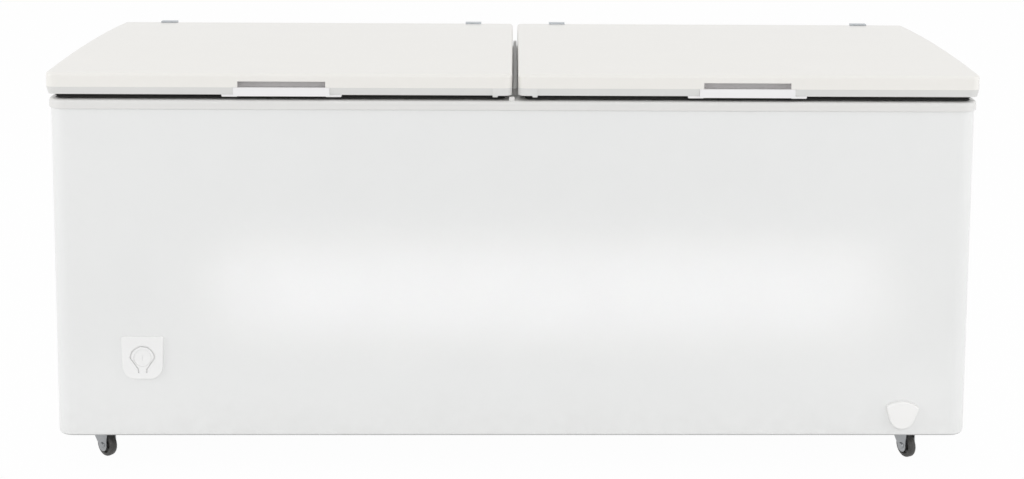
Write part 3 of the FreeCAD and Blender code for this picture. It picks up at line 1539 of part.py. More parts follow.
def hinge_screw_spots(x):
    """The four screws of one hinge bracket."""
    return [
        (f"{x} + {across} * hinge_screw_side", f"pin_z - hinge_bracket_drop + hinge_screw_margin + {rise}")
        for across in (-1, 1) for rise in ("0", "hinge_screw_spacing")
    ]


def hinge_bracket(name, x):
    """The fixed bracket: a back plate with an ear at each side that holds the pin."""
    half = "hinge_width / 2"
    low = "pin_z - hinge_bracket_drop"
    plate = box(f"{name}_plate", (f"{x} - {half}", f"{x} + {half}"), ("bracket_front", "bracket_rear"),
                (low, "pin_z - hinge_notch_drop"))
    pad_block = box(f"{name}_pad", (f"{x} - {half}", f"{x} + {half}"), ("panel_rear", "bracket_rear"),
                    (low, "frame_under - 2 * fit_gap - hinge_plate"))
    ear_profile = [
        ("bracket_front", "pin_z - hinge_ear_drop"), ("bracket_rear", "pin_z - hinge_ear_drop"),
        ("pin_y + hinge_knuckle_radius", "pin_z"), ("pin_y", "pin_z + hinge_knuckle_radius"),
        ("pin_y - hinge_knuckle_radius", "pin_z"), ("bracket_front", "pin_z - hinge_notch_drop"),
    ]
    ears = []
    for end in (-1, 1):
        low_x = f"{x} - {half}" if end < 0 else f"{x} + {half} - hinge_plate"
        ears.append(prism(f"{name}_ear_{'a' if end < 0 else 'b'}", "YZ_Plane", ear_profile,
                          low_x, f"{low_x} + hinge_plate",
                          {2: "hinge_knuckle_radius", 3: "hinge_knuckle_radius"}))
    bore = rod(f"{name}_bore", "x", (f"{x} - {half} - {PAST}", "pin_y", "pin_z"),
               "hinge_pin_radius + running_gap", f"hinge_width + 2 * {PAST}")
    holes = [
        rod(f"{name}_screw_hole_{number}", "y", (screw_x, f"panel_rear - {PAST}", z),
            "hinge_screw_radius + running_gap", f"bracket_rear - panel_rear + 2 * {PAST}")
        for number, (screw_x, z) in enumerate(hinge_screw_spots(x))
    ]
    return cut(f"{name}_bracket", fuse(f"{name}_bracket_fuse", plate, pad_block, *ears), bore, *holes)


for side in ("left", "right"):
    brackets = [hinge_bracket(name, x) for name, x in HINGES.items() if name.startswith(side)]
    node(group(f"{side}_bracket_group", *brackets), f"{side}_hinge_brackets")

pins = []
for name, x in HINGES.items():
    half = "hinge_width / 2 + running_gap"
    pin = spun(
        f"{name}_pin",
        [(f"-({half}) - hinge_pin_head", "0"), (f"{half} + hinge_pin_head", "0"),
         (f"{half} + hinge_pin_head", "hinge_pin_head_radius"), (half, "hinge_pin_head_radius"),
         (half, "hinge_pin_radius"), (f"-({half})", "hinge_pin_radius"),
         (f"-({half})", "hinge_pin_head_radius"), (f"-({half}) - hinge_pin_head", "hinge_pin_head_radius")],
        axis="H_Axis",
    )
    place(pin, x, "pin_y", "pin_z")
    pins.append(pin)
node(group("pin_group", *pins), "hinge_pins")

hinge_screws = [
    turned_screw(f"{name}_screw_{number}", screw_x, "bracket_rear + running_gap", z, "hinge_screw_radius",
                 "bracket_rear - panel_rear", "hinge_screw_head_radius", "hinge_screw_head")
    for name, x in HINGES.items()
    for number, (screw_x, z) in enumerate(hinge_screw_spots(x))
]
node(group("hinge_screw_group", *hinge_screws), "hinge_screws")

# Casters. The plates are fixed; fork, axle and wheel are made round the swivel axis and turned to rest.


def turned_to_rest(item, x, y, yaw):
    """Turn a piece that was made round the swivel axis to its angle at rest, and put it under its plate."""
    item.Placement = Placement(Vector(), Rotation(Z_AXIS, value(yaw)))
    bind(item, "Placement.Rotation.Angle", yaw)
    bind(item, "Placement.Base.x", x)
    bind(item, "Placement.Base.y", y)
    return item


def caster_plate(name, x, y):
    """A square plate with a turned race boss and the kingpin under it."""
    half = "caster_plate_length / 2"
    plate = rounded_block(
        f"{name}_top_plate", (f"{x} - {half}", f"{x} + {half}"), (f"{y} - {half}", f"{y} + {half}"),
        ("caster_plate_bottom", "caster_height"), corner="caster_plate_radius",
    )
    fork_seat = "fork_top + fit_gap"
    head_top = "fork_under - fit_gap"
    race = spun(
        f"{name}_race",
        [("0", f"{head_top} - kingpin_head"), ("kingpin_head_radius", f"{head_top} - kingpin_head"),
         ("kingpin_head_radius", head_top), ("kingpin_radius", head_top), ("kingpin_radius", fork_seat),
         ("swivel_radius - swivel_cup_wall", fork_seat), ("swivel_radius", f"{fork_seat} + swivel_cup_wall"),
         ("swivel_radius", "caster_plate_bottom + caster_plate_sheet / 2"),
         ("0", "caster_plate_bottom + caster_plate_sheet / 2")],
    )
    bind(race, "Placement.Base.x", x)
    bind(race, "Placement.Base.y", y)
    return fuse(f"{name}_plate_fuse", plate, race)


plates = [caster_plate(name, x, y) for name, (x, y) in CASTERS.items()]
node(cut("caster_plate_cut", group("caster_plate_group", *plates), *caster_bolt_holes("plate_hole")),
     "caster_plates")

bolts = []
for number, (x, y) in enumerate(caster_bolt_spots()):
    low = "-caster_bolt_head - running_gap"
    tip = "caster_plate_sheet + base_sheet"
    bolt = spun(
        f"caster_bolt_{number}",
        [("0", low), ("caster_bolt_head_radius", low), ("caster_bolt_head_radius", "-running_gap"),
         ("caster_bolt_radius", "-running_gap"), ("caster_bolt_radius", tip), ("0", tip)],
    )
    place(bolt, x, y, "caster_plate_bottom")
    bolts.append(bolt)
node(group("caster_bolt_group", *bolts), "caster_bolts")


def caster_fork(name):
    """A pressed fork: a round crown on the swivel axis and two cheeks that trail to the axle."""
    crown = rod(f"{name}_crown", "z", ("0", "0", "fork_under"), "swivel_radius", "fork_sheet")
    bridge = box(f"{name}_bridge", ("-cheek_outer", "cheek_outer"), ("-caster_trail", "swivel_radius / 2"),
                 ("fork_under", "fork_top"))
    cheek_profile = [
        ("3 * swivel_radius / 4", "fork_top"), ("-caster_trail - fork_toe_radius", "fork_top"),
        ("-caster_trail - fork_toe_radius", "wheel_radius"),
        ("-caster_trail", "wheel_radius - fork_toe_radius"),
        ("-caster_trail + fork_toe_radius", "wheel_radius"),
    ]
    cheeks = []
    for end, low in (("a", "-cheek_outer"), ("b", "cheek_inner")):
        cheeks.append(prism(f"{name}_cheek_{end}", "YZ_Plane", cheek_profile, low, f"{low} + fork_sheet",
                            {2: "fork_toe_radius", 3: "fork_toe_radius"}))
    king_hole = rod(f"{name}_king_hole", "z", ("0", "0", f"fork_under - {PAST}"),
                    "kingpin_radius + running_gap", f"fork_sheet + 2 * {PAST}")
    axle_hole = rod(f"{name}_axle_hole", "x", (f"-cheek_outer - {PAST}", "-caster_trail", "wheel_radius"),
                    "axle_radius + running_gap", f"2 * (cheek_outer + {PAST})")
    return cut(f"{name}_fork_cut", fuse(f"{name}_fork_fuse", crown, bridge, *cheeks), king_hole, axle_hole)


def caster_axle(name):
    """A headed axle through both cheeks."""
    half = "cheek_outer + running_gap"
    end = f"{half} + axle_head"
    rim = "axle_head_radius - axle_head / 2"
    body = spun(
        f"{name}_axle",
        [(f"-({end})", "0"), (end, "0"), (end, rim), (half, "axle_head_radius"), (half, "axle_radius"),
         (f"-({half})", "axle_radius"), (f"-({half})", "axle_head_radius"), (f"-({end})", rim)],
        axis="H_Axis",
    )
    place(body, "0", "-caster_trail", "wheel_radius")
    return body


def caster_wheel(name):
    """A moulded wheel: hub, web and a rim with a rounded tread."""
    half = "wheel_width / 2"
    web = "wheel_web_width / 2"
    hub = "wheel_hub_width / 2"
    rim = "wheel_radius - wheel_rim_depth"
    bore = "axle_radius + running_gap"
    right = [(hub, bore), (hub, "wheel_hub_radius"), (web, "wheel_hub_radius"), (web, rim), (half, rim),
             (half, "wheel_radius - wheel_tread_radius"), (f"{half} - wheel_tread_radius", "wheel_radius")]
    left = [(f"-({u})", v) for u, v in reversed(right)]
    arcs = {5: "-wheel_tread_radius", 7: "-wheel_tread_radius"}
    body = spun(f"{name}_wheel", right + left, arcs, axis="H_Axis")
    place(body, "0", "-caster_trail", "wheel_radius")
    return body


def on_swivel(name, piece):
    """A piece in the swivel's own frame, so that it turns about the swivel axis."""
    return group(name, piece)


for name, (x, y) in CASTERS.items():
    yaw = f"caster_{name.split('_')[1]}_yaw"
    axle = on_swivel(f"{name}_axle_group", caster_axle(name))
    wheel = on_swivel(f"{name}_wheel_group", caster_wheel(name))
    for label, piece in (("fork", caster_fork(name)), ("axle", axle), ("wheel", wheel)):
        node(turned_to_rest(piece, x, y, yaw), f"{name}_caster_{label}")

doc.recompute()

# Every object has to have built, and every piece has to be a sound solid, before anything is written.

failed = [item.Label for item in doc.Objects if "Invalid" in item.State or "Error" in item.State]
if failed:
    raise RuntimeError(f"did not build: {failed}")
unsound = [
    item.Label for item in nodes
    if item.Shape.isNull() or not item.Shape.isValid() or not item.Shape.Solids
]
if unsound:
    raise RuntimeError(f"not a sound solid: {unsound}")

os.makedirs("parts", exist_ok=True)
for item in nodes:
    item.Shape.exportStep(os.path.join("parts", f"{item.Label}.step"))
print(f"wrote {len(nodes)} pieces")
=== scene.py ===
"""Looks of a two-door chest freezer: finishes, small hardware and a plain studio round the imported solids."""

import logging
import math
from contextlib import contextmanager
from dataclasses import dataclass, field
from enum import Enum
from typing import Callable, Iterable, Iterator

import bmesh
import bpy
from mathutils import Matrix, Vector

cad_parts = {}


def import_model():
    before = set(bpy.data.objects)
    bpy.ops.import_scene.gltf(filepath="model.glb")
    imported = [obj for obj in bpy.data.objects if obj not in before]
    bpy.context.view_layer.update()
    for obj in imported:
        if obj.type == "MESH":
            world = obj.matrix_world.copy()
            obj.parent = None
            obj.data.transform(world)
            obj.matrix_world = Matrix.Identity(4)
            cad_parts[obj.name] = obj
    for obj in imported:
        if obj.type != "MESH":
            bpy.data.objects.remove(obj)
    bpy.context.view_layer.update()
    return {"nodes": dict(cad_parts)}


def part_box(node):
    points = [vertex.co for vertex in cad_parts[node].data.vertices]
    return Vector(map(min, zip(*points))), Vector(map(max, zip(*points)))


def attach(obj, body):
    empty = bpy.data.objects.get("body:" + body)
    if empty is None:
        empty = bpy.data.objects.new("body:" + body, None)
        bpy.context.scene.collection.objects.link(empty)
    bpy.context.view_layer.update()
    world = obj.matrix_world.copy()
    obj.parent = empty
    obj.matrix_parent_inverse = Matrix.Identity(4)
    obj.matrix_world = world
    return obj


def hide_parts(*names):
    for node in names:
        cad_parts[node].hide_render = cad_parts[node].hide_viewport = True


LOG = logging.getLogger("chest_freezer")

# Lengths this close, in metres, count as equal, and a face with this share of its normal on an axis faces it.
NEAR = 1e-5
FACING = 0.9

# The painted hem shade's level and fade, and the dust's colour, its reach up from the floor and its thinnest
# share.
HEM_SHADE_LEVEL = 0.0812
HEM_SHADE_FADE = 0.002
DUST_COLOUR = (0.3, 0.28, 0.25, 1)
DUST_REACH = (0.02, 0.2)
DUST_THINNEST = 0.2

# Lumps per metre and octaves of the noises that the finishes share.
CLOUDS = (9, 4)
WAVES = (2.6, 1)
STREAKS = (160, 3)
DUST_PATCHES = (30, 5)

# How far the streaks change the roughness, the clear coat's roughness, and the darkest flake's shade.
STREAK_ROUGHNESS = (0.9, 1.12)
COAT_ROUGHNESS = 0.12
FLAKE_SHADE = 0.78

# A cross screw: sides, dome and slot in shares of the head's size, and degrees from one screw to the next.
SCREW_SIDES = 28
DOME_SHARE = 0.75
DOME_PROFILE = 0.55
SLOT_LENGTH = 1.1
SLOT_WIDTH = 0.26
SLOT_DEPTH = 1.1
SLOT_TAPER = 0.6
SCREW_TURN = 37

Colour = tuple[float, float, float]
Spot = tuple[float, float, float]


class Relief(Enum):
    """The fine relief that a surface shows from close by."""

    ORANGE_PEEL = "orange_peel"
    SPARK_GRAIN = "spark_grain"
    STUCCO = "stucco"
    SPANGLE = "spangle"
    DRAWN = "drawn"
    CELLS = "cells"


@dataclass(frozen=True)
class Grain:
    """A relief made of soft noise: lumps per metre, octaves, depth in metres and stretch."""

    scale: float
    detail: float
    depth: float
    stretch: Spot = (1, 1, 1)


GRAINS = {
    Relief.ORANGE_PEEL: Grain(620, 1.5, 2.2e-5),
    Relief.SPARK_GRAIN: Grain(1900, 2, 2.5e-5),
    Relief.DRAWN: Grain(900, 2, 1.5e-5, (1, 1, 0.05)),
    Relief.SPANGLE: Grain(700, 2, 1.2e-5),
}
CELL_SCALES = {Relief.STUCCO: 190, Relief.SPANGLE: 85, Relief.CELLS: 520}
CELL_DEPTHS = {Relief.STUCCO: 2.2e-4, Relief.CELLS: 3.5e-4}


class Graph:
    """Adds and links the shader nodes of one material."""

    def __init__(self, material: bpy.types.Material) -> None:
        """Take hold of a material's node tree.

        Args:
            material: a material that uses nodes.
        """
        self.tree = material.node_tree
        self.shader = self.tree.nodes["Principled BSDF"]
        self.place = self.add("ShaderNodeTexCoord", {}).outputs["Object"]

    def add(self, kind: str, inputs: dict, **settings: object) -> bpy.types.Node:
        """Add one node.

        Args:
            kind: Blender's name of the node type.
            inputs: socket name or index to a value, or to the output that feeds it.
            settings: the node's own properties.

        Returns:
            The new node.
        """
        node = self.tree.nodes.new(kind)
        for name, setting in settings.items():
            setattr(node, name, setting)
        for name, source in inputs.items():
            if isinstance(source, bpy.types.NodeSocket):
                self.tree.links.new(source, node.inputs[name])
            else:
                node.inputs[name].default_value = source
        return node

    def noise(self, scale: float, detail: float = 2.0, stretch: Spot = (1, 1, 1)) -> bpy.types.NodeSocket:
        """Soft noise in object space.

        Args:
            scale: lumps per metre.
            detail: octaves of finer noise.
            stretch: factors on the three axes, below one for streaks along an axis.

        Returns:
            The noise factor.
        """
        vector = self.add("ShaderNodeMapping", {"Vector": self.place, "Scale": stretch}).outputs[0]
        return self.add("ShaderNodeTexNoise", {"Vector": vector, "Scale": scale, "Detail": detail}).outputs[0]

    def ranged(self, source: bpy.types.NodeSocket, low: float, high: float, start: float = 0.3,
               stop: float = 0.7) -> bpy.types.NodeSocket:
        """Stretch a factor between two values.

        Args:
            source: the factor.
            low: the value at start.
            high: the value at stop.
            start: factor that gives low.
            stop: factor that gives high.

        Returns:
            The new value.
        """
        inputs = {"Value": source, "From Min": start, "From Max": stop, "To Min": low, "To Max": high}
        return self.add("ShaderNodeMapRange", inputs).outputs[0]

    def mix(self, share: bpy.types.NodeSocket, first: object, second: object) -> bpy.types.NodeSocket:
        """Blend two colours.

        Args:
            share: how much of the second colour shows.
            first: colour or output.
            second: colour or output.

        Returns:
            The blended colour.
        """
        return self.add("ShaderNodeMix", {0: share, 6: first, 7: second}, data_type="RGBA").outputs[2]

    def bump(self, height: bpy.types.NodeSocket, depth: float, below: bpy.types.NodeSocket | None = None
             ) -> bpy.types.NodeSocket:
        """Raise the surface by a factor.

        Args:
            height: the factor.
            depth: the height of a full factor, in metres.
            below: another bump's normal to build on.

        Returns:
            The normal.
        """
        inputs = {"Height": height, "Distance": depth, "Strength": 1.0}
        if below is not None:
            inputs["Normal"] = below
        return self.add("ShaderNodeBump", inputs).outputs[0]


@dataclass(frozen=True)
class Finish:
    """A finish: its colour, its gloss and the relief it shows."""

    name: str
    colour: Colour
    roughness: float
    relief: Relief
    metallic: float = 0.0
    coat: float = 0.0
    mottle: float = 0.03
    wave: float = 0.0
    dust: float = 0.0
    # Share of the colour left on the lowest fold, darkened as painted shade; one leaves the fold unshaded.
    hem_shade: float = 1.0

    def material(self) -> bpy.types.Material:
        """The material of this finish, made once.

        Returns:
            The material.
        """
        found = bpy.data.materials.get(self.name)
        if found:
            return found
        made = bpy.data.materials.new(self.name)
        made.use_nodes = True
        graph = Graph(made)
        shader = graph.shader
        shader.inputs["Metallic"].default_value = self.metallic
        shader.inputs["Coat Weight"].default_value = self.coat
        shader.inputs["Coat Roughness"].default_value = COAT_ROUGHNESS
        shade = tuple(part * (1 - self.mottle) for part in self.colour)
        clouds = graph.ranged(graph.noise(*CLOUDS), 0, 1)
        colour = graph.mix(clouds, (*shade, 1), (*self.colour, 1))
        if self.dust:
            colour = self.dusted(graph, colour)
        # Painted shade along the sheet's lowest fold.
        if self.hem_shade < 1:
            colour = self.painted_hem_shade(graph, colour)
        normal = None
        if self.wave:
            normal = graph.bump(graph.noise(*WAVES), self.wave)
        colour, normal = self.relieved(graph, colour, normal)
        smoothest, roughest = (self.roughness * share for share in STREAK_ROUGHNESS)
        gloss = graph.ranged(graph.noise(*STREAKS), smoothest, min(roughest, 1))
        graph.tree.links.new(colour, shader.inputs["Base Color"])
        graph.tree.links.new(gloss, shader.inputs["Roughness"])
        graph.tree.links.new(normal, shader.inputs["Normal"])
        return made

    def dusted(self, graph: Graph, colour: bpy.types.NodeSocket) -> bpy.types.NodeSocket:
        """Lay a little floor dust over the lowest part.

        Args:
            graph: the material's nodes.
            colour: the clean colour.

        Returns:
            The dusted colour.
        """
        height = graph.add("ShaderNodeSeparateXYZ", {"Vector": graph.place}).outputs["Z"]
        low = graph.ranged(height, self.dust, 0, *DUST_REACH)
        patchy = graph.ranged(graph.noise(*DUST_PATCHES), DUST_THINNEST, 1)
        share = graph.add("ShaderNodeMath", {0: low, 1: patchy}, operation="MULTIPLY").outputs[0]
        return graph.mix(share, colour, DUST_COLOUR)

    def painted_hem_shade(self, graph: Graph, colour: bpy.types.NodeSocket) -> bpy.types.NodeSocket:
        """Paint shade on the sheet's lowest fold, where it turns under the cabinet.

        Args:
            graph: the material's nodes.
            colour: the colour so far.

        Returns:
            The colour with its painted hem shade.
        """
        height = graph.add("ShaderNodeSeparateXYZ", {"Vector": graph.place}).outputs["Z"]
        share = graph.ranged(height, 1, 0, HEM_SHADE_LEVEL, HEM_SHADE_LEVEL + HEM_SHADE_FADE)
        return graph.mix(share, colour, (self.hem_shade, self.hem_shade, self.hem_shade, 1))

    def relieved(self, graph: Graph, colour: bpy.types.NodeSocket, normal: bpy.types.NodeSocket | None
                 ) -> tuple[bpy.types.NodeSocket, bpy.types.NodeSocket]:
        """Add the relief's bump and the colour that goes with it.

        Args:
            graph: the material's nodes.
            colour: the colour so far.
            normal: the normal so far.

        Returns:
            Colour and normal.
        """
        if self.relief not in CELL_SCALES:
            return colour, self.grained(graph, normal)
        spangled = self.relief is Relief.SPANGLE
        inputs = {"Vector": graph.place, "Scale": CELL_SCALES[self.relief]}
        cells = graph.add("ShaderNodeTexVoronoi", inputs, feature="F1" if spangled else "SMOOTH_F1")
        if not spangled:
            return colour, graph.bump(cells.outputs["Distance"], CELL_DEPTHS[self.relief], normal)
        flake = graph.add("ShaderNodeSeparateColor", {"Color": cells.outputs["Color"]}).outputs[0]
        dark = tuple(part * FLAKE_SHADE for part in self.colour)
        return graph.mix(flake, (*dark, 1), colour), self.grained(graph, normal)

    def grained(self, graph: Graph, normal: bpy.types.NodeSocket | None) -> bpy.types.NodeSocket:
        """Add the bump of the relief's own grain to the normal so far."""
        grain = GRAINS[self.relief]
        return graph.bump(graph.noise(grain.scale, grain.detail, grain.stretch), grain.depth, normal)


# The cabinet's hem value of 0.36 is painted shade on its lowest fold.
CABINET_WHITE = Finish("cabinet_white_paint", (0.815, 0.82, 0.815), 0.36, Relief.ORANGE_PEEL, coat=0.25,
                       mottle=0.012, wave=9e-4, dust=0.1, hem_shade=0.36)
BACK_WHITE = Finish("back_sheet_white", (0.78, 0.785, 0.78), 0.42, Relief.ORANGE_PEEL, mottle=0.02, wave=7e-4,
                    dust=0.15)
LID_CREAM = Finish("lid_warm_white", (0.84, 0.825, 0.79), 0.34, Relief.SPARK_GRAIN, coat=0.2, mottle=0.01,
                   wave=5e-4)
TRAY_GREY = Finish("lid_tray_pale_grey", (0.72, 0.72, 0.705), 0.42, Relief.SPARK_GRAIN, mottle=0.02)
GRIP_WHITE = Finish("grip_white", (0.86, 0.855, 0.86), 0.4, Relief.SPARK_GRAIN, mottle=0.015)
# The grip's pocket is grey as painted shade inside the finger recess.
POCKET_PAINTED_SHADE = Finish("pocket_painted_shade", (0.67, 0.655, 0.655), 0.45, Relief.SPARK_GRAIN, mottle=0.03)
RIM_WHITE = Finish("rim_white", (0.76, 0.755, 0.74), 0.38, Relief.SPARK_GRAIN, mottle=0.015)
# Dark rubber, made near black to paint the shade in the gap under each lid.
SEAL_DARK_PAINTED_SHADE = Finish("seal_rubber_painted_shade", (0.05, 0.05, 0.048), 0.6, Relief.SPARK_GRAIN, mottle=0.12)
LINER_SILVER = Finish("liner_stucco_sheet", (0.74, 0.75, 0.76), 0.36, Relief.STUCCO, metallic=0.85,
                      mottle=0.03)
FLOOR_ZINC = Finish("galvanised_floor", (0.5, 0.51, 0.52), 0.42, Relief.SPANGLE, metallic=0.9, mottle=0.1,
                    dust=0.25)
PLATED = Finish("zinc_plated_steel", (0.62, 0.63, 0.64), 0.3, Relief.DRAWN, metallic=0.95, mottle=0.12)
FORK_STEEL = Finish("fork_pressed_steel", (0.36, 0.37, 0.38), 0.32, Relief.DRAWN, metallic=0.9, mottle=0.2)
HINGE_STEEL = Finish("hinge_plated_steel", (0.5, 0.53, 0.56), 0.34, Relief.DRAWN, metallic=0.9, mottle=0.12)
COVER_GREY = Finish("cover_pale_grey_paint", (0.7, 0.71, 0.7), 0.45, Relief.ORANGE_PEEL, mottle=0.03,
                    dust=0.2)
BLACK_MOULDED = Finish("black_moulded", (0.025, 0.025, 0.026), 0.5, Relief.SPARK_GRAIN, mottle=0.15)
COMPRESSOR_BLACK = Finish("compressor_black_paint", (0.018, 0.018, 0.02), 0.35, Relief.ORANGE_PEEL, coat=0.3,
                          mottle=0.2)
BUSH_RUBBER = Finish("bush_rubber", (0.04, 0.04, 0.04), 0.75, Relief.SPARK_GRAIN, mottle=0.2)
COPPER = Finish("drawn_copper", (0.72, 0.38, 0.24), 0.3, Relief.DRAWN, metallic=1.0, mottle=0.2)
CONTROL_WHITE = Finish("control_white", (0.87, 0.87, 0.865), 0.42, Relief.SPARK_GRAIN, mottle=0.015)
SWITCH_GREY = Finish("switch_grey", (0.16, 0.16, 0.17), 0.5, Relief.SPARK_GRAIN, mottle=0.1)
DRAIN_WHITE = Finish("drain_white", (0.88, 0.875, 0.865), 0.4, Relief.SPARK_GRAIN, mottle=0.012)
FOAM_CREAM = Finish("rigid_foam_cream", (0.78, 0.68, 0.42), 0.85, Relief.CELLS, mottle=0.15)
WHEEL_BLACK = Finish("wheel_black_rubber", (0.022, 0.022, 0.023), 0.5, Relief.SPARK_GRAIN, mottle=0.3,
                     dust=0.25)


def clear_selection() -> None:
    """Leave edit mode and deselect everything."""
    if bpy.context.object and bpy.context.object.mode != "OBJECT":
        bpy.ops.object.mode_set(mode="OBJECT")
    bpy.ops.object.select_all(action="DESELECT")


def activate(piece: bpy.types.Object) -> None:
    """Make one object the only selected one, and the active one.

    Args:
        piece: the object.
    """
    clear_selection()
    piece.select_set(True)
    bpy.context.view_layer.objects.active = piece


def started(name: str) -> bpy.types.Object:
    """Name the primitive just added and settle its place into its mesh.

    Args:
        name: the object's and the mesh's name.

    Returns:
        The named object.
    """
    piece = bpy.context.object
    piece.name = name
    piece.data.name = name
    settle(piece)
    return piece


def settle(piece: bpy.types.Object) -> None:
    """Move an object's place, turn and scale into its mesh."""
    activate(piece)
    bpy.ops.object.transform_apply(location=True, rotation=True, scale=True)


@contextmanager
def editing(piece: bpy.types.Object, mode: str = "FACE") -> Iterator[None]:
    """Edit one object's mesh with nothing selected at first.

    Args:
        piece: the object.
        mode: what is selected, VERT, EDGE or FACE.

    Returns:
        A context that ends in object mode.
    """
    activate(piece)
    bpy.ops.object.mode_set(mode="EDIT")
    bpy.ops.mesh.select_mode(type=mode)
    bpy.ops.mesh.select_all(action="DESELECT")
    yield
    bpy.ops.object.mode_set(mode="OBJECT")


def pick_faces(piece: bpy.types.Object, test: Callable[[bmesh.types.BMFace], bool]) -> None:
    """Select the faces of the edited mesh that pass a test, and no others.

    Args:
        piece: the object being edited.
        test: takes a face.
    """
    bpy.ops.mesh.select_mode(type="FACE")
    bpy.ops.mesh.select_all(action="DESELECT")
    mesh = bmesh.from_edit_mesh(piece.data)
    for face in mesh.faces:
        if test(face):
            face.select_set(True)
    bmesh.update_edit_mesh(piece.data)


def pick_edges(piece: bpy.types.Object, test: Callable[[Vector, Vector], bool]) -> None:
    """Select the edges of the edited mesh whose two ends pass a test, and no others.

    Args:
        piece: the object being edited.
        test: takes the two ends.
    """
    bpy.ops.mesh.select_mode(type="EDGE")
    bpy.ops.mesh.select_all(action="DESELECT")
    mesh = bmesh.from_edit_mesh(piece.data)
    for edge in mesh.edges:
        if test(edge.verts[0].co, edge.verts[1].co):
            edge.select_set(True)
    bmesh.update_edit_mesh(piece.data)


def pick_points(piece: bpy.types.Object, test: Callable[[Vector], bool]) -> None:
    """Select the points of the edited mesh that pass a test, and no others.

    Args:
        piece: the object being edited.
        test: takes a point.
    """
    bpy.ops.mesh.select_mode(type="VERT")
    bpy.ops.mesh.select_all(action="DESELECT")
    mesh = bmesh.from_edit_mesh(piece.data)
    for point in mesh.verts:
        if test(point.co):
            point.select_set(True)
    bmesh.update_edit_mesh(piece.data)


def joined(name: str, pieces: list[bpy.types.Object]) -> bpy.types.Object:
    """Join pieces to one object.

    Args:
        name: the new object's name.
        pieces: the pieces, which are used up.

    Returns:
        The joined object.
    """
    activate(pieces[0])
    for piece in pieces:
        piece.select_set(True)
    bpy.ops.object.join()
    whole = bpy.context.object
    whole.name = name
    whole.data.name = name
    return whole


def copies(pattern: bpy.types.Object, places: Iterable[Matrix]) -> list[bpy.types.Object]:
    """Copy a pattern piece to places, each copy with its own mesh, and use the pattern up.

    Args:
        pattern: the piece, modelled at the origin.
        places: one matrix for each copy.

    Returns:
        The copies.
    """
    made = []
    for place in places:
        copy = pattern.copy()
        copy.data = pattern.data.copy()
        copy.data.transform(place)
        bpy.context.scene.collection.objects.link(copy)
        made.append(copy)
    bpy.data.objects.remove(pattern)
    return made


def modified(piece: bpy.types.Object, kind: str, **settings: object) -> None:
    """Add a modifier and apply it.

    Args:
        piece: the object.
        kind: Blender's name of the modifier type.
        settings: the modifier's own properties.
    """
    activate(piece)
    added = piece.modifiers.new(kind.lower(), kind)
    for name, setting in settings.items():
        setattr(added, name, setting)
    bpy.ops.object.modifier_apply(modifier=added.name)


def shaded(piece: bpy.types.Object, degrees: float = 35) -> None:
    """Shade smooth, with edges sharper than an angle kept sharp."""
    activate(piece)
    bpy.ops.object.shade_smooth_by_angle(angle=math.radians(degrees))


def dress(piece: bpy.types.Object, finish: Finish) -> None:
    """Give a piece one finish all over."""
    piece.data.materials.clear()
    piece.data.materials.append(finish.material())


def dress_all(nodes: dict[str, bpy.types.Object], finishes: dict[str, Finish]) -> None:
    """Give each named solid its finish."""
    for name, finish in finishes.items():
        dress(nodes[name], finish)


def fitted(piece: bpy.types.Object, body: str, slot: str, finish: Finish, *nodes: str) -> None:
    """Finish a new piece and hand it to the frame.

    Args:
        piece: the piece.
        body: the body that it rides on.
        slot: the record's material slot; not used.
        finish: its finish.
        nodes: the solids that it stands for.
    """
    settle(piece)
    dress(piece, finish)
    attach(piece, body)
    if nodes:
        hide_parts(*nodes)
    LOG.info("%s rides on %s", piece.name, body)


@dataclass
class Cabinet:
    """The cabinet's sheets, rim and foam, which keep their solids."""

    finishes: dict[str, Finish] = field(default_factory=lambda: {
        "outer_shell": CABINET_WHITE, "back_panel": BACK_WHITE, "base_pan": FLOOR_ZINC,
        "inner_liner": LINER_SILVER, "insulation_foam": FOAM_CREAM, "top_frame": RIM_WHITE,
        "centre_divider": RIM_WHITE, "thermostat_plate": CONTROL_WHITE, "thermostat_knob": CONTROL_WHITE,
        "thermostat_body": SWITCH_GREY, "drain_tube": DRAIN_WHITE, "drain_spout": DRAIN_WHITE,
        "drain_cap": DRAIN_WHITE, "drain_plug": DRAIN_WHITE,
    })

    def dress(self, nodes: dict[str, bpy.types.Object]) -> None:
        """Give each solid its finish."""
        dress_all(nodes, self.finishes)

    def build(self) -> None:
        """Add nothing, because the cabinet keeps all its solids."""


@dataclass
class MachineBay:
    """The compressor's bay behind the louvred cover, and the screws of the cover."""

    head_radius: float = 0.004
    head_height: float = 0.0022
    finishes: dict[str, Finish] = field(default_factory=lambda: {
        "machine_cover": COVER_GREY, "machine_bulkhead": FLOOR_ZINC, "cord_gland": BLACK_MOULDED,
        "compressor_shell": COMPRESSOR_BLACK, "compressor_mount": COMPRESSOR_BLACK,
        "compressor_grommets": BUSH_RUBBER, "relay_cover": BLACK_MOULDED, "suction_tube": COPPER,
        "discharge_tube": COPPER, "filter_drier": COPPER,
    })

    def dress(self, nodes: dict[str, bpy.types.Object]) -> None:
        """Give each solid its finish."""
        dress_all(nodes, self.finishes)

    def build(self) -> None:
        """Make the cover's cross-head screws."""
        low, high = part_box("machine_cover_screws")
        columns = (low.x + self.head_radius, high.x - self.head_radius)
        rows = (low.z + self.head_radius, (low.z + high.z) / 2, high.z - self.head_radius)
        spots = [(x, high.y - self.head_height, z) for x in columns for z in rows]
        screws = cross_screws("machine_cover_screw_heads", self.head_radius, self.head_height, spots)
        fitted(screws, "cabinet", "plated_steel", PLATED, "machine_cover_screws")


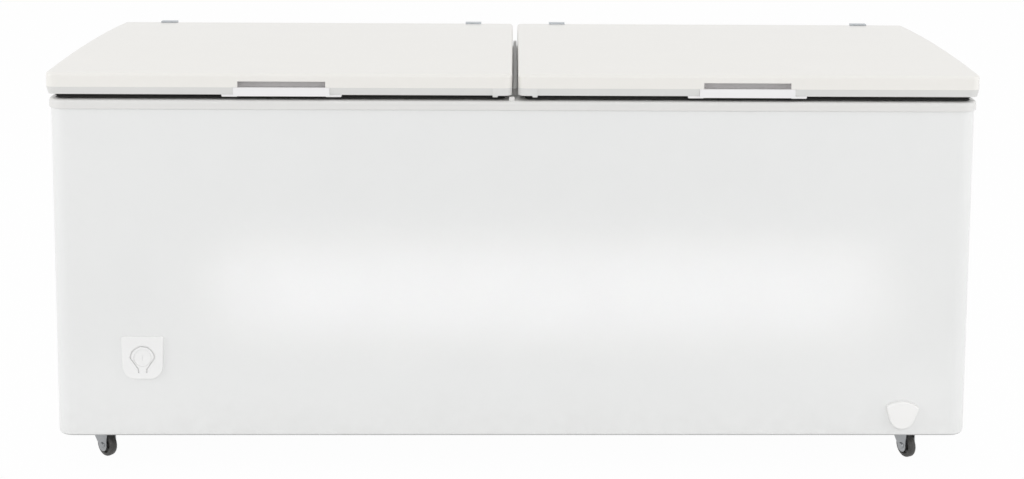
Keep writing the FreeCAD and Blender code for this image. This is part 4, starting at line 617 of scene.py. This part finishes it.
def cross_screws(name: str, radius: float, height: float, spots: list[Spot]) -> bpy.types.Object:
    """Round-headed cross screws that stand out to the rear.

    Args:
        name: the joined piece's name.
        radius: the head's radius.
        height: the head's height.
        spots: the middle of each head's seat.

    Returns:
        All the screws as one object.
    """
    clear_selection()
    bpy.ops.mesh.primitive_cylinder_add(vertices=SCREW_SIDES, radius=radius, depth=height * 2,
                                        location=(0, 0, 0))
    head = started(f"{name}_pattern")
    with editing(head):
        pick_edges(head, lambda a, b: a.z > height - NEAR and b.z > height - NEAR)
        bpy.ops.mesh.bevel(offset=height * DOME_SHARE, segments=5, profile=DOME_PROFILE)
    slot = (radius * SLOT_LENGTH, radius * SLOT_WIDTH, height * SLOT_DEPTH)
    blades = []
    for turn in (0, 90):
        clear_selection()
        bpy.ops.mesh.primitive_cube_add(size=1, location=(0, 0, height), rotation=(0, 0, math.radians(turn)),
                                        scale=slot)
        blade = started(f"{name}_blade_{turn}")
        with editing(blade):
            pick_faces(blade, lambda face: face.normal.z < -FACING)
            bpy.ops.transform.resize(value=(SLOT_TAPER, SLOT_TAPER, 1))
        blades.append(blade)
    for blade in blades:
        modified(head, "BOOLEAN", operation="DIFFERENCE", object=blade, solver="EXACT")
        bpy.data.objects.remove(blade)
    shaded(head)
    facing = Matrix.Rotation(math.radians(-90), 4, "X")
    turned = [Matrix.Rotation(math.radians(SCREW_TURN * number), 4, "Z") for number in range(len(spots))]
    places = [Matrix.Translation(spot) @ facing @ turn for spot, turn in zip(spots, turned)]
    return joined(name, copies(head, places))


@dataclass
class Lid:
    """One lid: its skin, tray and grip keep their solids, and the seal gets its folds."""

    side: str
    seal_width: float = 0.018
    seal_radius: float = 0.014
    fold: float = 0.0035
    levels: tuple[float, ...] = (0.0015, 0.0015, 0.0012, 0.0012, 0.0013, 0.003)
    finishes: dict[str, Finish] = field(default_factory=lambda: {
        # The pocket's grey is painted shade in the grip's recess.
        "lid_skin": LID_CREAM, "lid_liner": TRAY_GREY, "lid_handle": GRIP_WHITE, "lid_pocket": POCKET_PAINTED_SHADE,
        "lid_foam": FOAM_CREAM, "hinge_leaves": HINGE_STEEL,
    })

    def dress(self, nodes: dict[str, bpy.types.Object]) -> None:
        """Give each solid its finish."""
        dress_all(nodes, {f"{self.side}_{part}": finish for part, finish in self.finishes.items()})

    def rounded_loop(self, name: str, low: Vector, high: Vector, radius: float) -> bpy.types.Object:
        """A flat loop of edges with round corners at the seal's upper face.

        Args:
            name: the object's name.
            low: the lowest corner.
            high: the highest corner.
            radius: the corners' radius.

        Returns:
            The loop.
        """
        clear_selection()
        middle = (low + high) / 2
        bpy.ops.mesh.primitive_plane_add(size=1, location=(middle.x, middle.y, high.z))
        loop = bpy.context.object
        loop.scale = (high.x - low.x, high.y - low.y, 1)
        loop = started(name)
        with editing(loop, "VERT"):
            bpy.ops.mesh.select_all(action="SELECT")
            bpy.ops.mesh.bevel(offset=radius, segments=6, affect="VERTICES")
            bpy.ops.mesh.select_all(action="SELECT")
            bpy.ops.mesh.delete(type="ONLY_FACE")
        return loop

    def build(self) -> None:
        """Make the folded magnetic seal in the place of the plain one."""
        node = f"{self.side}_lid_gasket"
        low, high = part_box(node)
        step = Vector((self.seal_width, self.seal_width, 0))
        outer = self.rounded_loop(f"{node}_outer", low, high, self.seal_radius)
        inner = self.rounded_loop(f"{node}_inner", low + step, high - step, self.seal_radius / 2)
        seal = joined(f"{self.side}_lid_seal", [outer, inner])
        with editing(seal, "EDGE"):
            bpy.ops.mesh.select_all(action="SELECT")
            bpy.ops.mesh.bridge_edge_loops()
            bpy.ops.mesh.select_all(action="SELECT")
            for drop in self.levels:
                bpy.ops.mesh.extrude_region_move(TRANSFORM_OT_translate={"value": (0, 0, -drop)})
            self.fold_levels(seal, low, high)
            bpy.ops.mesh.select_all(action="SELECT")
            bpy.ops.mesh.normals_make_consistent(inside=False)
        shaded(seal, degrees=50)
        # The seal's near-black is partly painted shade in the gap under the lid.
        fitted(seal, f"{self.side}_lid", "gasket_rubber", SEAL_DARK_PAINTED_SHADE, node)

    def fold_levels(self, seal: bpy.types.Object, low: Vector, high: Vector) -> None:
        """Draw every other level of the seal in, which leaves the folds.

        Args:
            seal: the seal being edited.
            low: its lowest corner.
            high: its highest corner.
        """
        size = high - low
        middle = (low + high) / 2
        half = size / 2 - Vector((self.seal_width, self.seal_width, 0)) / 2

        def outside(point: Vector) -> bool:
            """Whether a point is on the outer wall."""
            return abs(point.x - middle.x) > half.x or abs(point.y - middle.y) > half.y

        level = high.z
        for number, drop in enumerate(self.levels[:-1]):
            level -= drop
            if number % 2:
                continue
            pick_points(seal, lambda point: abs(point.z - level) < NEAR and outside(point))
            scale = (1 - 2 * self.fold / size.x, 1 - 2 * self.fold / size.y, 1)
            bpy.ops.transform.resize(value=scale, center_override=(middle.x, middle.y, level))
            pick_points(seal, lambda point: abs(point.z - level) < NEAR and not outside(point))
            gap = size - 2 * Vector((self.seal_width, self.seal_width, 0))
            scale = (1 + 2 * self.fold / gap.x, 1 + 2 * self.fold / gap.y, 1)
            bpy.ops.transform.resize(value=scale, center_override=(middle.x, middle.y, level))


@dataclass
class Hinges:
    """The four hinges: brackets and leaves keep their solids, screws and pins get their heads."""

    width: float = 0.04
    screw_side: float = 0.009
    screw_margin: float = 0.01
    screw_spacing: float = 0.022
    head_radius: float = 0.005
    head_height: float = 0.0026
    pin_radius: float = 0.006
    pin_reach: float = 0.022
    pin_round: float = 0.0016
    pin_sides: int = 32

    def dress(self, nodes: dict[str, bpy.types.Object]) -> None:
        """Give each solid its finish."""
        for name in ("left_hinge_brackets", "right_hinge_brackets"):
            dress(nodes[name], HINGE_STEEL)

    def middles(self) -> list[float]:
        """The middle of each hinge, from left to right."""
        boxes = [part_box(f"{side}_hinge_brackets") for side in ("left", "right")]
        return [x for low, high in boxes for x in (low.x + self.width / 2, high.x - self.width / 2)]

    def build(self) -> None:
        """Make the bracket screws and the peened pins."""
        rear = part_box("hinge_screws")[1].y
        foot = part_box("left_hinge_brackets")[0].z + self.screw_margin
        spots = [(x + end * self.screw_side, rear - self.head_height, z)
                 for x in self.middles() for end in (-1, 1) for z in (foot, foot + self.screw_spacing)]
        screws = cross_screws("hinge_screw_heads", self.head_radius, self.head_height, spots)
        fitted(screws, "cabinet", "plated_steel", PLATED, "hinge_screws")
        low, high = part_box("hinge_pins")
        middle = (low + high) / 2
        clear_selection()
        bpy.ops.mesh.primitive_cylinder_add(vertices=self.pin_sides, radius=self.pin_radius,
                                            depth=2 * self.pin_reach, rotation=(0, math.radians(90), 0))
        pin = started("hinge_pin_pattern")
        with editing(pin):
            pick_edges(pin, lambda a, b: abs(abs(a.x) - self.pin_reach) < NEAR and abs(a.x - b.x) < NEAR)
            bpy.ops.mesh.bevel(offset=self.pin_round, segments=4, profile=0.5)
        shaded(pin)
        places = [Matrix.Translation((x, middle.y, middle.z)) for x in self.middles()]
        pins = joined("hinge_pins_peened", copies(pin, places))
        fitted(pins, "cabinet", "plated_steel", PLATED, "hinge_pins")


@dataclass
class Casters:
    """The four swivel casters: plates and forks keep their solids, bolts and wheels get their detail."""

    corners: tuple[str, ...] = ("front_left", "front_right", "rear_left", "rear_right")
    left_yaw: float = 50.0
    right_yaw: float = 24.0
    plate: float = 0.074
    bolt_reach: float = 0.028
    bolt_radius: float = 0.0055
    bolt_height: float = 0.004
    bolt_fit: float = 0.92
    bolt_chamfer: float = 0.00064
    bolt_flare: float = 1.08
    wheel_radius: float = 0.02698
    wheel_width: float = 0.017
    wheel_sides: int = 64
    tread_round: float = 0.005
    hub_width: float = 0.021
    hub_radius: float = 0.01
    hub_lip: float = 0.0012
    rim_depth: float = 0.008
    web_sink: float = 0.0045
    ribs: int = 6
    rib_width: float = 0.0022
    rib_inset: float = 0.001
    rib_overlap: float = 0.001
    rib_round: float = 0.0005

    def dress(self, nodes: dict[str, bpy.types.Object]) -> None:
        """Give each solid its finish.

        Args:
            nodes: the solids by name.
        """
        dress(nodes["caster_plates"], PLATED)
        for corner in self.corners:
            dress(nodes[f"{corner}_caster_fork"], FORK_STEEL)
            dress(nodes[f"{corner}_caster_axle"], FORK_STEEL)

    def bolts(self) -> None:
        """Make the hexagon bolts under the plates."""
        low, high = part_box("caster_plates")
        columns = (low.x + self.plate / 2, high.x - self.plate / 2)
        rows = (low.y + self.plate / 2, high.y - self.plate / 2)
        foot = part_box("caster_bolts")[0].z
        clear_selection()
        bpy.ops.mesh.primitive_cylinder_add(vertices=6, radius=self.bolt_radius * self.bolt_fit,
                                            depth=self.bolt_height, location=(0, 0, self.bolt_height / 2))
        bolt = started("caster_bolt_pattern")
        with editing(bolt):
            pick_edges(bolt, lambda a, b: a.z < NEAR and b.z < NEAR)
            bpy.ops.mesh.bevel(offset=self.bolt_chamfer, segments=2)
            pick_faces(bolt, lambda face: face.normal.z > FACING)
            bpy.ops.transform.resize(value=(self.bolt_flare, self.bolt_flare, 1))
        shaded(bolt, degrees=20)
        spots = [(x + across * self.bolt_reach, y + along * self.bolt_reach, foot)
                 for x in columns for y in rows for across in (-1, 1) for along in (-1, 1)]
        whole = joined("caster_bolt_heads", copies(bolt, [Matrix.Translation(spot) for spot in spots]))
        fitted(whole, "cabinet", "plated_steel", PLATED, "caster_bolts")

    def wheel_pattern(self) -> bpy.types.Object:
        """A moulded wheel about the X axis, with a hub, a sunk web, ribs and a rounded tread.

        Returns:
            The wheel at the origin.
        """
        half = self.wheel_width / 2
        web = self.wheel_radius - self.rim_depth - self.hub_radius
        rise = self.web_sink + (self.hub_width - self.wheel_width) / 2
        clear_selection()
        bpy.ops.mesh.primitive_cylinder_add(vertices=self.wheel_sides, radius=self.wheel_radius,
                                            depth=self.wheel_width, rotation=(0, math.radians(90), 0))
        wheel = started("caster_wheel_pattern")
        with editing(wheel):
            pick_edges(wheel, lambda a, b: abs(abs(a.x) - half) < NEAR and abs(a.x - b.x) < NEAR)
            bpy.ops.mesh.bevel(offset=self.tread_round, segments=5, profile=0.5)
            for end in (-1, 1):
                pick_faces(wheel, lambda face: (face.normal.x * end > FACING
                                                and len(face.verts) == self.wheel_sides))
                sunk, raised = ({"value": (end * reach, 0, 0)} for reach in (-self.web_sink, rise))
                bpy.ops.mesh.inset(thickness=self.rim_depth - self.tread_round)
                bpy.ops.mesh.extrude_region_move(TRANSFORM_OT_translate=sunk)
                bpy.ops.mesh.inset(thickness=web)
                bpy.ops.mesh.extrude_region_move(TRANSFORM_OT_translate=raised)
                bpy.ops.mesh.inset(thickness=self.hub_lip)
            bpy.ops.mesh.select_all(action="SELECT")
            bpy.ops.mesh.normals_make_consistent(inside=False)
        clear_selection()
        size = (self.wheel_width - 2 * self.rib_inset, self.rib_width, web + self.rib_overlap)
        bpy.ops.mesh.primitive_cube_add(size=1, location=(0, 0, self.hub_radius + web / 2), scale=size)
        rib = started("caster_rib_pattern")
        modified(rib, "BEVEL", width=self.rib_round, segments=2)
        turns = [Matrix.Rotation(math.tau * number / self.ribs, 4, "X") for number in range(self.ribs)]
        whole = joined("caster_wheel_pattern", [wheel, *copies(rib, turns)])
        shaded(whole)
        return whole

    def build(self) -> None:
        """Make the bolts and the four wheels."""
        self.bolts()
        places = []
        for corner in self.corners:
            low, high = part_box(f"{corner}_caster_wheel")
            yaw = self.left_yaw if corner.endswith("left") else self.right_yaw
            turn = Matrix.Rotation(math.radians(yaw), 4, "Z")
            places.append(Matrix.Translation((low + high) / 2) @ turn)
        for corner, wheel in zip(self.corners, copies(self.wheel_pattern(), places)):
            wheel.name = f"{corner}_moulded_wheel"
            fitted(wheel, f"{corner}_wheel", "wheel_rubber", WHEEL_BLACK, f"{corner}_caster_wheel")


@dataclass(frozen=True)
class Lamp:
    """A soft box: its place, the point it faces, its width and height, its watts and its spread."""

    name: str
    place: Spot
    aim: Spot
    size: tuple[float, float]
    watts: float
    spread: float = 180

    def hang(self) -> None:
        """Hang the soft box, which the camera doesn't see."""
        light = bpy.data.lights.new(self.name, "AREA")
        light.shape = "RECTANGLE"
        light.size, light.size_y = self.size
        light.energy = self.watts
        light.spread = math.radians(self.spread)
        holder = bpy.data.objects.new(self.name, light)
        holder.location = self.place
        holder.rotation_euler = (Vector(self.aim) - Vector(self.place)).to_track_quat("-Z", "Y").to_euler()
        holder.visible_camera = False
        bpy.context.scene.collection.objects.link(holder)


LAMPS = (
    Lamp("left_soft_box", (-3.6, -1.4, 1.6), (-0.6, -0.2, 0.5), (1.6, 2.2), 22),
    Lamp("right_soft_box", (3.6, -1.4, 1.6), (0.6, -0.2, 0.5), (1.6, 2.2), 22),
    Lamp("front_soft_box", (0, -4.4, 2.6), (0, -0.3, 0.6), (3.0, 1.2), 22),
    Lamp("top_soft_box", (0, 0.2, 4.2), (0, 0, 0.9), (3.6, 2.0), 9),
    Lamp("glow_soft_box", (0.08, -2.5, 0.42), (0.08, -0.37, 0.4), (1.45, 0.1), 0.125, 10),
    Lamp("low_soft_box", (0, -2.6, 0.1), (0, -0.37, 0.1), (2.5, 0.08), 0.09, 12),
)


@dataclass
class Studio:
    """A pale floor, soft lamps and the camera."""

    camera_place: Spot = (-0.005, -3.792, 1.505)
    pitch: float = 6.27
    yaw: float = 1.03
    roll: float = -0.41
    lens: float = 58.015
    slide: tuple[float, float] = (0.01877, 0.17263)
    clip_end: float = 200
    ambient: float = 0.78
    floor_size: float = 80
    floor_colour: tuple[float, ...] = (0.85, 0.85, 0.85, 1)
    floor_roughness: float = 0.9
    floor_glow: float = 0.975

    def floor(self) -> None:
        """Lay a wide pale floor that shows as white to the camera and keeps a soft shadow."""
        clear_selection()
        bpy.ops.mesh.primitive_plane_add(size=self.floor_size)
        floor = started("studio_floor")
        made = bpy.data.materials.new("studio_floor_white")
        made.use_nodes = True
        graph = Graph(made)
        graph.shader.inputs["Base Color"].default_value = self.floor_colour
        graph.shader.inputs["Roughness"].default_value = self.floor_roughness
        glow = graph.add("ShaderNodeEmission", {"Color": (1, 1, 1, 1), "Strength": 1.0}).outputs[0]
        inputs = {0: self.shown(graph), 1: self.floor_glow}
        share = graph.add("ShaderNodeMath", inputs, operation="MULTIPLY").outputs[0]
        mixed = graph.add("ShaderNodeMixShader", {0: share, 1: graph.shader.outputs[0], 2: glow}).outputs[0]
        graph.tree.links.new(mixed, graph.tree.nodes["Material Output"].inputs["Surface"])
        floor.data.materials.append(made)

    def shown(self, graph: Graph) -> bpy.types.NodeSocket:
        """One where the camera sees the surface, directly, mirrored or through glass.

        Args:
            graph: the material's nodes.

        Returns:
            The factor.
        """
        path = graph.add("ShaderNodeLightPath", {}).outputs
        seen = graph.add("ShaderNodeMath", {0: path["Is Camera Ray"], 1: path["Is Glossy Ray"]},
                         operation="MAXIMUM").outputs[0]
        return graph.add("ShaderNodeMath", {0: seen, 1: path["Is Transmission Ray"]},
                         operation="MAXIMUM").outputs[0]

    def world(self) -> None:
        """A white surround for the camera, and a plainer level of light for the object."""
        world = bpy.data.worlds.new("studio_surround")
        world.use_nodes = True
        bpy.context.scene.world = world
        tree = world.node_tree
        path = tree.nodes.new("ShaderNodeLightPath").outputs
        level = None
        for name in ("Is Glossy Ray", "Is Transmission Ray"):
            either = tree.nodes.new("ShaderNodeMath")
            either.operation = "MAXIMUM"
            tree.links.new(level or path["Is Camera Ray"], either.inputs[0])
            tree.links.new(path[name], either.inputs[1])
            level = either.outputs[0]
        ranged = tree.nodes.new("ShaderNodeMapRange")
        ranged.inputs["To Min"].default_value = self.ambient
        tree.links.new(level, ranged.inputs["Value"])
        backdrop = tree.nodes["Background"]
        backdrop.inputs["Color"].default_value = (1, 1, 1, 1)
        tree.links.new(ranged.outputs[0], backdrop.inputs["Strength"])

    def camera(self) -> None:
        """Set the camera at the photograph's viewing angle, sheared on its rail as by a shifted lens."""
        data = bpy.data.cameras.new("photograph_camera")
        data.lens = self.lens
        data.clip_end = self.clip_end
        holder = bpy.data.objects.new("photograph_camera", data)
        rail = bpy.data.objects.new("camera_rail", None)
        for item in (holder, rail):
            bpy.context.scene.collection.objects.link(item)
        turns = ((-self.yaw, "Z"), (90 - self.pitch, "X"), (-self.roll, "Z"))
        pan, tilt, lean = (Matrix.Rotation(math.radians(degrees), 4, axis) for degrees, axis in turns)
        stand = Matrix.Translation(self.camera_place) @ pan @ tilt @ lean
        slid = Matrix.Identity(4)
        slid[0][2], slid[1][2] = self.slide
        holder.matrix_basis = stand
        holder.parent = rail
        holder.matrix_parent_inverse = stand @ slid @ stand.inverted()
        bpy.context.scene.camera = holder

    def build(self) -> None:
        """Set up the floor, the light and the camera."""
        self.floor()
        self.world()
        for lamp in LAMPS:
            lamp.hang()
        self.camera()
        bpy.context.scene.view_settings.view_transform = "Standard"


def main() -> None:
    """Dress the solids, add the small hardware and set up the studio."""
    logging.basicConfig(level=logging.INFO, format="%(name)s: %(message)s")
    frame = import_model()
    nodes = frame["nodes"]
    assemblies = [Cabinet(), MachineBay(), Lid("left"), Lid("right"), Hinges(), Casters()]
    for assembly in assemblies:
        assembly.dress(nodes)
        assembly.build()
    Studio().build()


if __name__ == "__main__":
    main()
